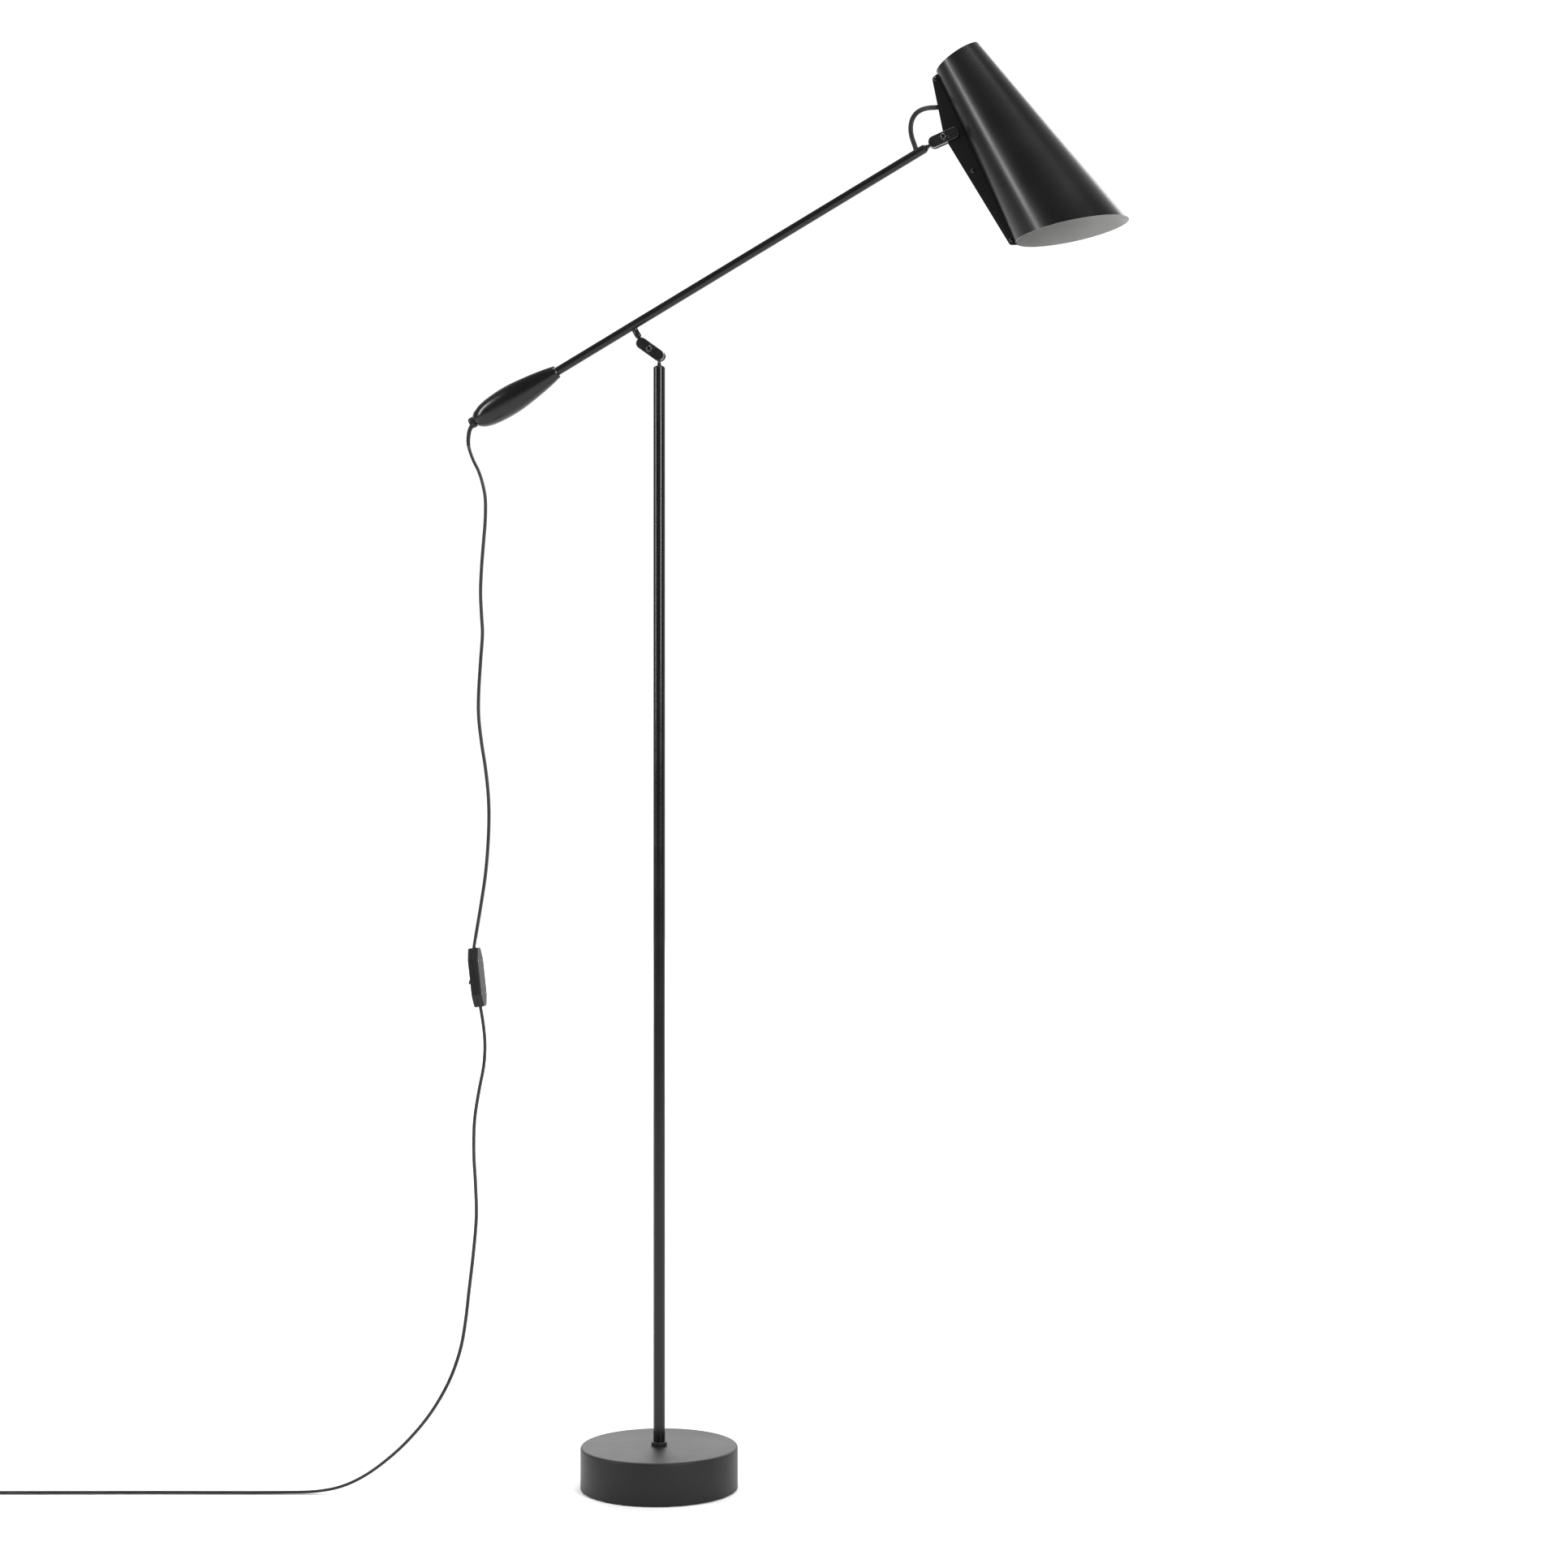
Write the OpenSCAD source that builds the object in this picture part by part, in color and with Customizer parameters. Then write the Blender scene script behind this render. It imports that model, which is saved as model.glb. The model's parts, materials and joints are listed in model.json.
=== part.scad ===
// Adjustable arm floor lamp: a weighted round base and a slim post, a tilting arm held by a
// double ball clamp, a counterweight at its rear end and a finned cone shade on a second clamp.
// Millimetres. The origin is the centre of the underside of the base, +Z is up, and the arm
// lies in the XZ plane with the shade towards +X.

/* [Base] */
// Diameter of the base
base_d = 160; // [130:1:220]
// Height of the base above the floor
base_h = 43.5; // [36:0.5:60]
// Wall of the spun cover
cover_t = 1.5; // [1:0.1:2.5]
// Radius of the cover's top edge
cover_edge = 3; // [2:0.5:6]
// Thickness of the felt under the base
felt_t = 2; // [1.5:0.5:4]

/* [Post] */
// Diameter of the post
post_d = 12; // [11:0.5:18]
// Wall of the post and arm tubes
tube_t = 0.8; // [0.6:0.1:1.2]
// Height of the post's rounded shoulder above the floor
post_top = 1141; // [800:1:1500]
// Diameter of the collar at the foot of the post
collar_d = 16; // [14:0.5:26]
// Height of that collar
collar_h = 4; // [2:0.5:12]
// Diameter of the threaded rod that holds the post to the base
foot_rod_d = 8; // [6:1:9]

/* [Ball clamps] */
// Diameter of the balls
ball_d = 10; // [8:0.5:12]
// Diameter of the necks behind the balls
neck_d = 3.6; // [3:0.2:4]
// Distance between the two balls of a clamp
ball_gap = 21.5; // [21:0.5:30]
// Thickness of a clamp plate
plate_t = 3.6; // [3.3:0.1:5]
// Gap between the two plates of a clamp
plate_gap = 4.4; // [4:0.1:4.6]
// Clearance between a ball and the floor of its seat
seat_room = 0.2; // [0.1:0.05:0.4]
// Wall of a plate beside its ball
plate_rim = 1.25; // [1:0.05:3]
// Diameter of the clamp screw
clamp_screw_d = 4; // [3:0.5:4]
// Angle of the lower clamp above the horizontal, towards the counterweight
lower_clamp_angle = 36; // [20:1:50]
// Angle of the upper clamp above the horizontal, towards the shade
upper_clamp_angle = 21.8; // [10:0.2:35]

/* [Arm] */
// Diameter of the arm tube
arm_d = 9; // [8.8:0.1:12]
// Angle of the arm above the horizontal
arm_angle = 29.2; // [20:0.2:40]
// Arm length from its stud to its front tip
arm_front = 346.5; // [250:0.5:420]
// Arm length from its stud to the rear end of the counterweight
arm_rear = 190.5; // [150:0.5:230]
// Distance from the arm's axis to the ball below it
stud_h = 21.5; // [20:0.5:30]
// Diameter of the stud below the arm
stud_d = 6.8; // [6:0.2:8]
// Distance of the head cord's hole from the tip of the arm
cord_hole_back = 10.5; // [10.5:0.5:40]

/* [Counterweight] */
// Length of the counterweight
weight_l = 100; // [80:1:140]
// Largest diameter of the counterweight
weight_d = 30.5; // [26:0.5:40]
// Diameter of its front end
weight_nose_d = 13.5; // [12:0.5:20]
// Diameter of the cord gland behind it
gland_d = 11.6; // [10:0.2:14]
// Length of the gland outside the counterweight
gland_l = 6.8; // [5:0.2:12]

/* [Shade] */
// Length of the shade along its axis
shade_l = 209; // [170:1:230]
// Radius of the shade at its small end
shade_r = 25.5; // [22:0.5:32]
// Half of the cone's angle
shade_half_angle = 7.5; // [6:0.05:11]
// Thickness of the shade's sheet
sheet_t = 0.8; // [0.6:0.1:1.2]
// Tilt of the small rim
top_rim_tilt = 0.5; // [0:0.1:8]
// Tilt of the large rim
big_rim_tilt = 21.25; // [10:0.25:25]
// Angle of the shade's axis below the horizontal
shade_tilt = 58; // [40:1:80]
// Gap between the two flanges of the fin
fin_gap = 1.2; // [1:0.1:1.6]
// Diameter of the fin's screws
fin_screw_d = 2.6; // [2:0.1:3]

/* [Cord] */
// Width of the flat twin cord
cord_w = 5; // [4.6:0.1:5.2]
// Thickness of the flat twin cord
cord_t = 3; // [2.8:0.1:3.2]
// Length of the switch on the cord
switch_l = 61; // [50:1:80]
// Width of the switch
switch_w = 21; // [19:0.5:28]
// Thickness of the switch
switch_t = 11; // [10.5:0.5:14]

/* [Hidden] */
$fn = 64;
slack = 0.05;                       // radial clearance of a turning or sliding fit
ball_r = ball_d / 2;
seat_r = sqrt(pow(ball_r, 2) - pow(plate_gap / 2, 2)) + slack;
plate_r = seat_r + plate_rim;
tube_in = arm_d / 2 - tube_t;       // inside radius of the arm tube
cap_flange_h = 3;
cap_plug_h = 16;
cap_bore = 14;
ball_a = [0, 0, post_top + 10.6];
washer_t = 1;
washer_r = clamp_screw_d / 2 + 3.3;
dome_r = clamp_screw_d / 2 + 1.9;
dome_h = 3.2;

function along(angle) = [cos(angle), 0, sin(angle)];
ball_b = ball_a + ball_gap * along(180 - lower_clamp_angle);
arm_at = ball_b + stud_h * along(90 + arm_angle);
tip_reach = arm_front + 9;          // from the stud to the centre of the tip ball
ball_c = arm_at + tip_reach * along(arm_angle);
ball_e = ball_c + ball_gap * along(upper_clamp_angle);

cone_slope = tan(shade_half_angle);
function cone_r(z) = shade_r + z * cone_slope;
apex_z = 59;                        // where the fin is widest, along the shade's axis
fin_w = 20.2;                       // width of the fin there
fin_apex = [cone_r(apex_z) + fin_w, apex_z];
fin_ball = fin_apex + [-10.4, 3];   // centre of the fin's ball
fin_bottom_z = shade_l - 21.7;
fin_low = [cone_r(fin_bottom_z) + 5.8, fin_bottom_z];
fin_top = [cone_r(2.2) + 6.5, 2.2];
fin_holes = [fin_top + [-2.2, 3.2], [cone_r(104) + 8.4, 104], fin_low + [-3.6, -3.4]];
flange_in = fin_gap / 2;
flange_out = flange_in + sheet_t;
holder_z = 16;                      // where the lamp holder starts, along the shade's axis
grommet_at = [cone_r(32), 5.6, 32];

switch_at = [-192.5, 0, 517];
switch_lean = -6.44;
rocker_pivot = -(switch_t / 2 - 2.2);
coil_at = [-700, -130, 0];
coil_mean = 29;
coil_low = 0.9;
coil_high = 10.4;
tie_t = 0.8;
plug_at = [-739.6, -90, 7];
plug_turn = 11;

// The route of the mains cord from the gland to the switch
upper_route = [[-199.5, 0, 1083], [-201, 0, 1079.5], [-202, 0, 1073], [-202, 0, 1066], [-200, 0, 1058],
    [-196, 0, 1048], [-191, 0, 1038], [-187, 0, 1026], [-184, 0, 1010], [-184, 0, 988], [-186, 0, 963],
    [-188, 0, 938], [-189, 0, 913], [-188, 0, 890], [-187, 0, 870], [-189, 0, 842], [-191, 0, 810],
    [-191, 0, 785], [-188, 0, 759], [-184, 0, 734], [-181, 0, 708], [-180, 0, 683], [-181, 0, 654],
    [-184, 0, 621], [-190, 0, 583], [-196, 0, 548]];
// Its route from the switch down to the floor and along it to the coil
lower_route = [[-189, 0, 486], [-186, 0, 468], [-184, -1, 448], [-185, -2, 426], [-189, -6, 400],
    [-192, -11, 371], [-191, -17, 339], [-187, -24, 307], [-184, -31, 275], [-185, -38, 239],
    [-187, -46, 203], [-189, -53, 170], [-193, -59, 142], [-203, -65, 112], [-220, -69, 82],
    [-241, -73, 56], [-262, -77, 36], [-285, -81, 19], [-308, -86, 8], [-333, -91, 3],
    [-365, -97, 2], [-420, -108, 1.9], [-485, -120, 1.9], [-550, -133, 1.9], [-610, -145, 1.9],
    [-674, -157, 1.9]];
// Its short tail from the coil to the plug
tail_route = [[-734.8, -114.5, 8.4], [-736.3, -106.5, 7.8], [-738, -98, 7.2], [-739.6, -90.1, 7]];
// The route of the head cord from the hole in the arm to the grommet in the shade
head_route = [[263.5, 0, 1350.8], [262, 0, 1355.5], [259.6, 0, 1362.5], [258.3, 0, 1371], [259.5, 0, 1379.5],
    [263.5, 0, 1386], [269.5, 0.6, 1390], [276.5, 1.8, 1391.8], [283.5, 3.2, 1392.2], [289.5, 4.7, 1393],
    [295, 5.6, 1395.3]];

// ---------- shared shapes ----------

function unit(v) = v / norm(v);

// The points of an arc that rounds the corner b between a and c with radius r
function corner_arc(a, b, c, r, n = 6) =
    let (u = unit(a - b), v = unit(c - b), half = acos(u * v) / 2,
         centre = b + unit(u + v) * r / sin(half),
         p = b + u * r / tan(half) - centre, q = b + v * r / tan(half) - centre,
         sweep = 180 - 2 * half, way = p.x * q.y - p.y * q.x > 0 ? 1 : -1)
    [for (i = [0:n]) let (s = way * sweep * i / n)
        centre + [p.x * cos(s) - p.y * sin(s), p.x * sin(s) + p.y * cos(s)]];

// An outline with each corner rounded by its own radius, where 0 keeps it sharp
function rounded(points, radii) =
    [for (i = [0:len(points) - 1])
        each radii[i] == 0 ? [points[i]]
            : corner_arc(points[(i + len(points) - 1) % len(points)], points[i],
                         points[(i + 1) % len(points)], radii[i])];

module in_arm() { translate(arm_at) rotate([0, -arm_angle, 0]) children(); }
module in_lower_clamp() { translate(ball_a) rotate([0, lower_clamp_angle - 180, 0]) children(); }
module in_upper_clamp() { translate(ball_c) rotate([0, -upper_clamp_angle, 0]) children(); }
module in_shade() {
    translate(ball_e) rotate([0, 90 + shade_tilt, 0]) translate([-fin_ball.x, 0, -fin_ball.y]) children();
}
module in_switch() { translate(switch_at) rotate([0, switch_lean, 0]) children(); }

// A cylinder along Y, from y = from to y = to
module rod_y(r, from, to) { translate([0, from, 0]) rotate([-90, 0, 0]) cylinder(r = r, h = to - from); }
// A cylinder along X
module rod_x(r, from, to) { translate([from, 0, 0]) rotate([0, 90, 0]) cylinder(r = r, h = to - from); }

// A stadium standing on the XZ plane, from one end's centre to the other's
module stadium_y(length, r, from, to) {
    rod_y(r, from, to);
    translate([length, 0, 0]) rod_y(r, from, to);
    translate([0, from, -r]) cube([length, to - from, 2 * r]);
}

// A hexagonal socket
module hex_socket(across, depth) { cylinder(d = across / cos(30), h = depth, $fn = 6); }

// The flat twin section: two cores side by side along X
module twin_section(grow = 0) {
    r = cord_t / 2 + grow;
    side = (cord_w - cord_t) / 2;
    for (s = [-1, 1]) translate([s * side, 0]) circle(r = r);
    square([2 * side, 2 * r], center = true);
}

// The flat section as eight points, across its width and thickness
flat_section = [for (q = [[1, 0.4], [0.5, 1], [-0.5, 1], [-1, 0.4], [-1, -0.4], [-0.5, -1], [0.5, -1], [1, -0.4]])
    [q.x * cord_w / 2, q.y * cord_t / 2]];

// A flat cord swept along a route, with its width starting along w0
module flat_cord(route, w0) {
    n = len(route);
    m = len(flat_section);
    t = [for (i = [0:n - 1]) unit(route[min(i + 1, n - 1)] - route[max(i - 1, 0)])];
    w = [for (i = 0, v = unit(w0 - (w0 * t[0]) * t[0]); i < n;
              i = i + 1, v = unit(v - (v * t[min(i, n - 1)]) * t[min(i, n - 1)])) v];
    points = [for (i = [0:n - 1]) let (h = cross(t[i], w[i]))
        each [for (q = flat_section) route[i] + q.x * w[i] + q.y * h]];
    sides = [for (i = [0:n - 2], j = [0:m - 1]) let (k = (j + 1) % m)
        each [[i * m + j, i * m + k, (i + 1) * m + k], [i * m + j, (i + 1) * m + k, (i + 1) * m + j]]];
    ends = [[for (j = [m - 1:-1:0]) j], [for (j = [0:m - 1]) (n - 1) * m + j]];
    polyhedron(points, [for (f = concat(sides, ends)) [for (k = [len(f) - 1:-1:0]) f[k]]]);
}

// ---------- base and post ----------

cover_in = base_d / 2 - cover_t;
weight_r = cover_in - 0.5;
rod_hole = foot_rod_d / 2 + 0.3;

module base_cover() {
    r = base_d / 2;
    arc = [for (i = [0:8]) let (s = i * 90 / 8)
        [r - cover_edge + cover_edge * cos(s), base_h - cover_edge + cover_edge * sin(s)]];
    inner = max(cover_edge - cover_t, 0.5);
    back = [for (i = [8:-1:0]) let (s = i * 90 / 8)
        [cover_in - inner + inner * cos(s), base_h - cover_t - inner + inner * sin(s)]];
    color("#2b2b2c") rotate_extrude($fn = 128)
        polygon(concat([[r, felt_t - 1]], arc, [[rod_hole, base_h], [rod_hole, base_h - cover_t]],
                       back, [[cover_in, felt_t - 1]]));
}

module base_weight() {
    color("#4c4b49") difference() {
        translate([0, 0, felt_t]) cylinder(r = weight_r, h = base_h - cover_t - felt_t, $fn = 128);
        translate([0, 0, felt_t - 1]) cylinder(r = rod_hole, h = base_h);
        translate([0, 0, felt_t - 1]) cylinder(r = 15, h = 13);
        translate([0, 0, base_h - cover_t]) rotate_extrude($fn = 128)
            translate([weight_r, 0]) rotate(45) square(4, center = true);
    }
}

// The felt closes the counterbore of the nut
module base_felt() { color("#1c1c1c") cylinder(r = weight_r - 3, h = felt_t, $fn = 128); }

foot_top = base_h + collar_h + 22;
counterbore_top = felt_t + 12;

module foot_rod() {
    color("#a8a9aa") translate([0, 0, felt_t + 2]) cylinder(d = foot_rod_d, h = foot_top - felt_t - 2);
}

module foot_washer() {
    color("#a8a9aa") translate([0, 0, counterbore_top - 1.6]) difference() {
        cylinder(r = foot_rod_d / 2 + 5, h = 1.6);
        translate([0, 0, -1]) cylinder(r = foot_rod_d / 2 + 0.2, h = 4);
    }
}

module foot_nut() {
    color("#a8a9aa") translate([0, 0, counterbore_top - 1.6 - 5.5]) difference() {
        cylinder(d = 1.85 * foot_rod_d, h = 5.5, $fn = 6);
        translate([0, 0, -1]) cylinder(r = foot_rod_d / 2 + 0.02, h = 8);
    }
}

module post_collar() {
    bore = foot_rod_d / 2 + 0.3;
    color("#1b1b1c") rotate_extrude()
        polygon([[bore, base_h], [collar_d / 2, base_h], [collar_d / 2, base_h + collar_h - 1],
                 [collar_d / 2 - 1, base_h + collar_h], [bore, base_h + collar_h]]);
}

post_in = post_d / 2 - tube_t;
post_low = base_h + collar_h;
tube_top = post_top - cap_flange_h;

module post_foot_insert() {
    color("#8d8e90") translate([0, 0, post_low]) difference() {
        cylinder(r = post_in, h = 24);
        translate([0, 0, -1]) cylinder(r = foot_rod_d / 2 + 0.02, h = 26);
    }
}

module post_tube() {
    color("#141415") translate([0, 0, post_low]) difference() {
        cylinder(d = post_d, h = tube_top - post_low);
        translate([0, 0, -1]) cylinder(r = post_in, h = tube_top);
    }
}

// The cap closes the tube, and its bore lets the ball stud turn
module post_cap() {
    r = post_d / 2;
    color("#141415") difference() {
        union() {
            translate([0, 0, tube_top - cap_plug_h]) cylinder(r = post_in, h = cap_plug_h);
            rotate_extrude() polygon(concat([[0, tube_top], [r, tube_top]],
                [for (i = [0:6]) let (s = i * 15) [r - 2 + 2 * cos(s), post_top - 2 + 2 * sin(s)]],
                [[0, post_top]]));
        }
        translate([0, 0, post_top - cap_bore]) cylinder(r = neck_d / 2 + 0.9 + slack, h = cap_bore + 1);
    }
}

module post_ball_stud() {
    shank = neck_d / 2 + 0.9;
    color("#1b1b1c") union() {
        translate(ball_a) sphere(r = ball_r);
        translate([0, 0, post_top - cap_bore + 0.3]) cylinder(r = shank, h = cap_bore - 0.3 + 0.8);
        translate([0, 0, post_top + 0.8]) cylinder(r1 = shank, r2 = neck_d / 2, h = 1.4);
        translate([0, 0, post_top]) cylinder(d = neck_d, h = ball_a.z - post_top);
    }
}

// ---------- double ball clamps, along X from one ball to the other ----------

module front_plate() {
    out = -plate_gap / 2 - plate_t;
    color("#171718") difference() {
        stadium_y(ball_gap, plate_r, out, -plate_gap / 2);
        for (x = [0, ball_gap]) translate([x, 0, 0]) rod_y(seat_r, -ball_r - seat_room, 0);
        translate([ball_gap / 2, 0, 0]) rod_y(clamp_screw_d / 2 + slack, out - 1, 0);
    }
}

module rear_plate() {
    out = plate_gap / 2 + plate_t;
    color("#171718") difference() {
        stadium_y(ball_gap, plate_r, plate_gap / 2, out);
        for (x = [0, ball_gap]) translate([x, 0, 0]) rod_y(seat_r, 0, ball_r + seat_room);
        translate([ball_gap / 2, 0, 0]) rod_y(clamp_screw_d / 2 + slack, 0, out + 1);
    }
}

module clamp_washer() {
    face = -plate_gap / 2 - plate_t;
    color("#1d1d1e") translate([ball_gap / 2, 0, 0]) difference() {
        rod_y(washer_r, face - washer_t, face);
        rod_y(clamp_screw_d / 2 + 0.15, face - washer_t - 1, face + 1);
    }
}

module clamp_screw() {
    under = -plate_gap / 2 - plate_t - washer_t;
    end = plate_gap / 2 + plate_t;
    dome = (pow(dome_r, 2) + pow(dome_h, 2)) / (2 * dome_h);
    color("#1d1d1e") translate([ball_gap / 2, 0, 0]) difference() {
        union() {
            rod_y(clamp_screw_d / 2, under, end);
            intersection() {
                translate([0, under - dome_h + dome, 0]) sphere(r = dome);
                rod_y(dome_r, under - dome_h, under);
            }
        }
        translate([0, under - dome_h + 1.9, 0]) rotate([90, 0, 0]) hex_socket(2.5, 3);
    }
}

module lower_clamp_front_plate() { in_lower_clamp() front_plate(); }
module lower_clamp_rear_plate() { in_lower_clamp() rear_plate(); }
module lower_clamp_washer() { in_lower_clamp() clamp_washer(); }
module lower_clamp_screw() { in_lower_clamp() clamp_screw(); }
module upper_clamp_front_plate() { in_upper_clamp() front_plate(); }
module upper_clamp_rear_plate() { in_upper_clamp() rear_plate(); }
module upper_clamp_washer() { in_upper_clamp() clamp_washer(); }
module upper_clamp_screw() { in_upper_clamp() clamp_screw(); }

// ---------- arm, along X from its stud ----------

boss_low = -arm_d / 2 - 1.8;
insert_l = 14;
shank_r = 2;
weight_back = -arm_rear;
tube_back = weight_back + 8.5;
tip_flange_l = 2.5;
tip_plug_l = 4;

module arm_ball_stud() {
    cone_h = 1.7;
    shoulder = boss_low - 0.1 - 6.6;
    color("#1b1b1c") in_arm() union() {
        translate([0, 0, -stud_h]) sphere(r = ball_r);
        translate([0, 0, -stud_h]) cylinder(d = neck_d, h = stud_h + shoulder);
        translate([0, 0, shoulder - cone_h]) cylinder(r1 = neck_d / 2, r2 = stud_d / 2, h = cone_h);
        translate([0, 0, shoulder]) cylinder(d = stud_d, h = boss_low - 0.1 - shoulder);
        translate([0, 0, shoulder]) cylinder(r = shank_r, h = -0.3 - shoulder);
    }
}

module arm_boss() {
    color("#1b1b1c") in_arm() difference() {
        translate([0, 0, boss_low]) cylinder(d = stud_d, h = -boss_low - 2.5);
        rod_x(arm_d / 2, -10, 10);
        translate([0, 0, boss_low - 1]) cylinder(r = shank_r + slack, h = 8);
    }
}

module arm_insert() {
    color("#8d8e90") in_arm() difference() {
        rod_x(tube_in, -insert_l / 2, insert_l / 2);
        translate([-insert_l, -arm_d, -0.1]) cube([2 * insert_l, 2 * arm_d, arm_d]);
        translate([0, 0, -arm_d]) cylinder(r = shank_r + slack, h = arm_d);
    }
}

module arm_tube() {
    hole_x = arm_front - cord_hole_back;
    color("#141415") in_arm() difference() {
        rod_x(arm_d / 2, tube_back, arm_front - tip_flange_l);
        rod_x(tube_in, tube_back - 1, arm_front);
        translate([0, 0, -arm_d]) cylinder(r = shank_r + slack, h = arm_d);
        for (x = [hole_x - 1.2, hole_x + 1.2]) translate([x, 0, 0]) cylinder(r = 2.2, h = arm_d);
        translate([hole_x - 1.2, -2.2, 0]) cube([2.4, 4.4, arm_d]);
    }
}

// The twin cord inside the arm, above the insert
module arm_cord() {
    color("#161616") in_arm() translate([weight_back - gland_l + 0.5, 0, cord_t / 2 + 0.25])
        rotate([90, 0, 90]) linear_extrude(arm_front - cord_hole_back + 2.6 - weight_back + gland_l - 0.5)
            twin_section();
}

module arm_tip_insert() {
    flange = arm_front - tip_flange_l;
    color("#1b1b1c") in_arm() difference() {
        union() {
            rod_x(tube_in, flange - tip_plug_l, flange);
            translate([flange, 0, 0]) rotate([0, 90, 0])
                cylinder(r1 = arm_d / 2, r2 = arm_d / 2 - 1.6, h = tip_flange_l);
        }
        rod_x(shank_r + slack, flange - 9, arm_front + 1);
    }
}

module tip_ball_stud() {
    color("#1b1b1c") in_arm() union() {
        translate([tip_reach, 0, 0]) sphere(r = ball_r);
        rod_x(shank_r, arm_front - tip_flange_l - tip_plug_l + 0.5, arm_front + 0.6);
        rod_x(neck_d / 2, arm_front, tip_reach);
        rod_x(neck_d / 2 + 0.9, arm_front + 0.3, arm_front + 1.3);
    }
}

// ---------- counterweight ----------

// The radius of the counterweight at a share of its length from the rear end
weight_profile = [[0, 0.4], [0.02, 0.52], [0.05, 0.655], [0.1, 0.79], [0.16, 0.885], [0.24, 0.955],
    [0.34, 0.995], [0.42, 1], [0.5, 0.975], [0.6, 0.905], [0.7, 0.815], [0.8, 0.71], [0.9, 0.585]];

module counterweight() {
    r = weight_d / 2;
    nose = weight_nose_d / 2;
    gland_bore = 4.05;
    outline = [for (p = weight_profile) [r * p[1], weight_l * p[0]]];
    color("#151516") in_arm() translate([weight_back, 0, 0]) rotate([0, 90, 0]) difference() {
        rotate_extrude($fn = 96) polygon(concat([[0, 0]], outline,
            [[nose, weight_l - 0.8], [nose - 0.8, weight_l], [0, weight_l]]));
        translate([0, 0, tube_back - weight_back]) cylinder(r = arm_d / 2 + slack, h = weight_l);
        translate([0, 0, -1]) cylinder(r = gland_bore, h = 10.5);
        translate([0, 0, 70]) rotate([0, 90, 0]) cylinder(r = shank_r + 0.02, h = weight_d);
    }
}

module counterweight_grub_screw() {
    color("#3a3a3b") in_arm() translate([weight_back + 70, 0, -arm_d / 2 - 6]) difference() {
        cylinder(r = shank_r, h = 6);
        translate([0, 0, -1]) hex_socket(2, 3);
    }
}

// The gland screws into the rear of the counterweight and clamps the cord
module cord_gland() {
    r = gland_d / 2;
    color("#1d1d1e") in_arm() translate([weight_back, 0, 0]) difference() {
        rotate([0, -90, 0]) rotate_extrude() polygon(concat([[0, -8], [4, -8], [4, 0], [r - 0.6, 0], [r, 0.8]],
            [for (i = [0:5]) let (s = i * 18) [r - 2.4 + 2.4 * cos(s), gland_l - 2.4 + 2.4 * sin(s)]],
            [[0, gland_l]]));
        translate([-gland_l - 1, 0, cord_t / 2 + 0.25]) rotate([90, 0, 90])
            linear_extrude(gland_l + 10) twin_section(0.1);
    }
}

// ---------- shade, along its own axis from the small end ----------

function fin_edge_in(z) = cone_r(z) - sheet_t;

// The outline of a flange, from the cone's wall out to the fin's edge
flange_outline = rounded(
    [[fin_edge_in(1.7), 1.7], fin_top, fin_apex, fin_low, [cone_r(fin_bottom_z + 4) - 1.2, fin_bottom_z + 4]],
    [0, 3.4, 2.5, 3.4, 0]);

// A sector around the fin's ball that the clamp's screw passes through
module screw_room() {
    inner = ball_gap / 2 - clamp_screw_d / 2 - 0.45;
    outer = ball_gap / 2 + clamp_screw_d / 2 + 3;
    way = 90 + shade_tilt + upper_clamp_angle - 180;
    spread = 37;
    translate([fin_ball.x, 0, fin_ball.y]) rotate([90, 0, 0]) linear_extrude(4 * flange_out, center = true)
        polygon(concat([for (i = [-6:6]) inner * [cos(way + i * spread / 6), sin(way + i * spread / 6)]],
                       [for (i = [6:-1:-6]) outer * [cos(way + i * spread / 6), sin(way + i * spread / 6)]]));
}

module shade() {
    reach = 40;
    outer = [[cone_r(-reach), -reach], [cone_r(shade_l + reach), shade_l + reach]];
    inner = [[cone_r(shade_l + reach) - sheet_t, shade_l + reach], [cone_r(-reach) - sheet_t, -reach]];
    big = 4 * cone_r(shade_l);
    color("#121213") in_shade() difference() {
        union() {
            rotate_extrude($fn = 128) polygon(concat(outer, inner));
            for (side = [-1, 1]) translate([0, side * (flange_in + flange_out) / 2, 0]) rotate([90, 0, 0])
                linear_extrude(sheet_t, center = true) polygon(flange_outline);
        }
        rotate([0, -top_rim_tilt, 0]) translate([-big / 2, -big / 2, -big]) cube(big);
        translate([0, 0, shade_l]) rotate([0, big_rim_tilt, 0]) translate([-big / 2, -big / 2, 0]) cube(big);
        translate([5, -flange_in, -reach]) cube([big, fin_gap, shade_l + 2 * reach]);
        translate([fin_ball.x, 0, fin_ball.y]) rod_y(ball_r + 0.35, -9, 9);
        for (h = fin_holes) translate([h.x, 0, h.y]) rod_y(fin_screw_d / 2 + 0.1, -9, 9);
        screw_room();
        translate([grommet_at.x - 8, grommet_at.y, grommet_at.z]) rod_x(3.3, 0, 16);
    }
}

// The fin's ball stands on a tongue that the middle screw holds between the flanges
module fin_ball_plate() {
    screw = fin_holes[1];
    way = [screw.x, screw.y] - fin_ball;
    color("#1b1b1c") in_shade() difference() {
        union() {
            translate([fin_ball.x, 0, fin_ball.y]) sphere(r = ball_r);
            translate([fin_ball.x, 0, fin_ball.y]) rotate([0, atan2(way.x, way.y), 0])
                translate([-3, -flange_in, 0]) cube([6, fin_gap, norm(way)]);
            translate([screw.x, 0, screw.y]) rod_y(5, -flange_in, flange_in);
        }
        translate([screw.x, 0, screw.y]) rod_y(fin_screw_d / 2 + 0.1, -9, 9);
    }
}

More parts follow.
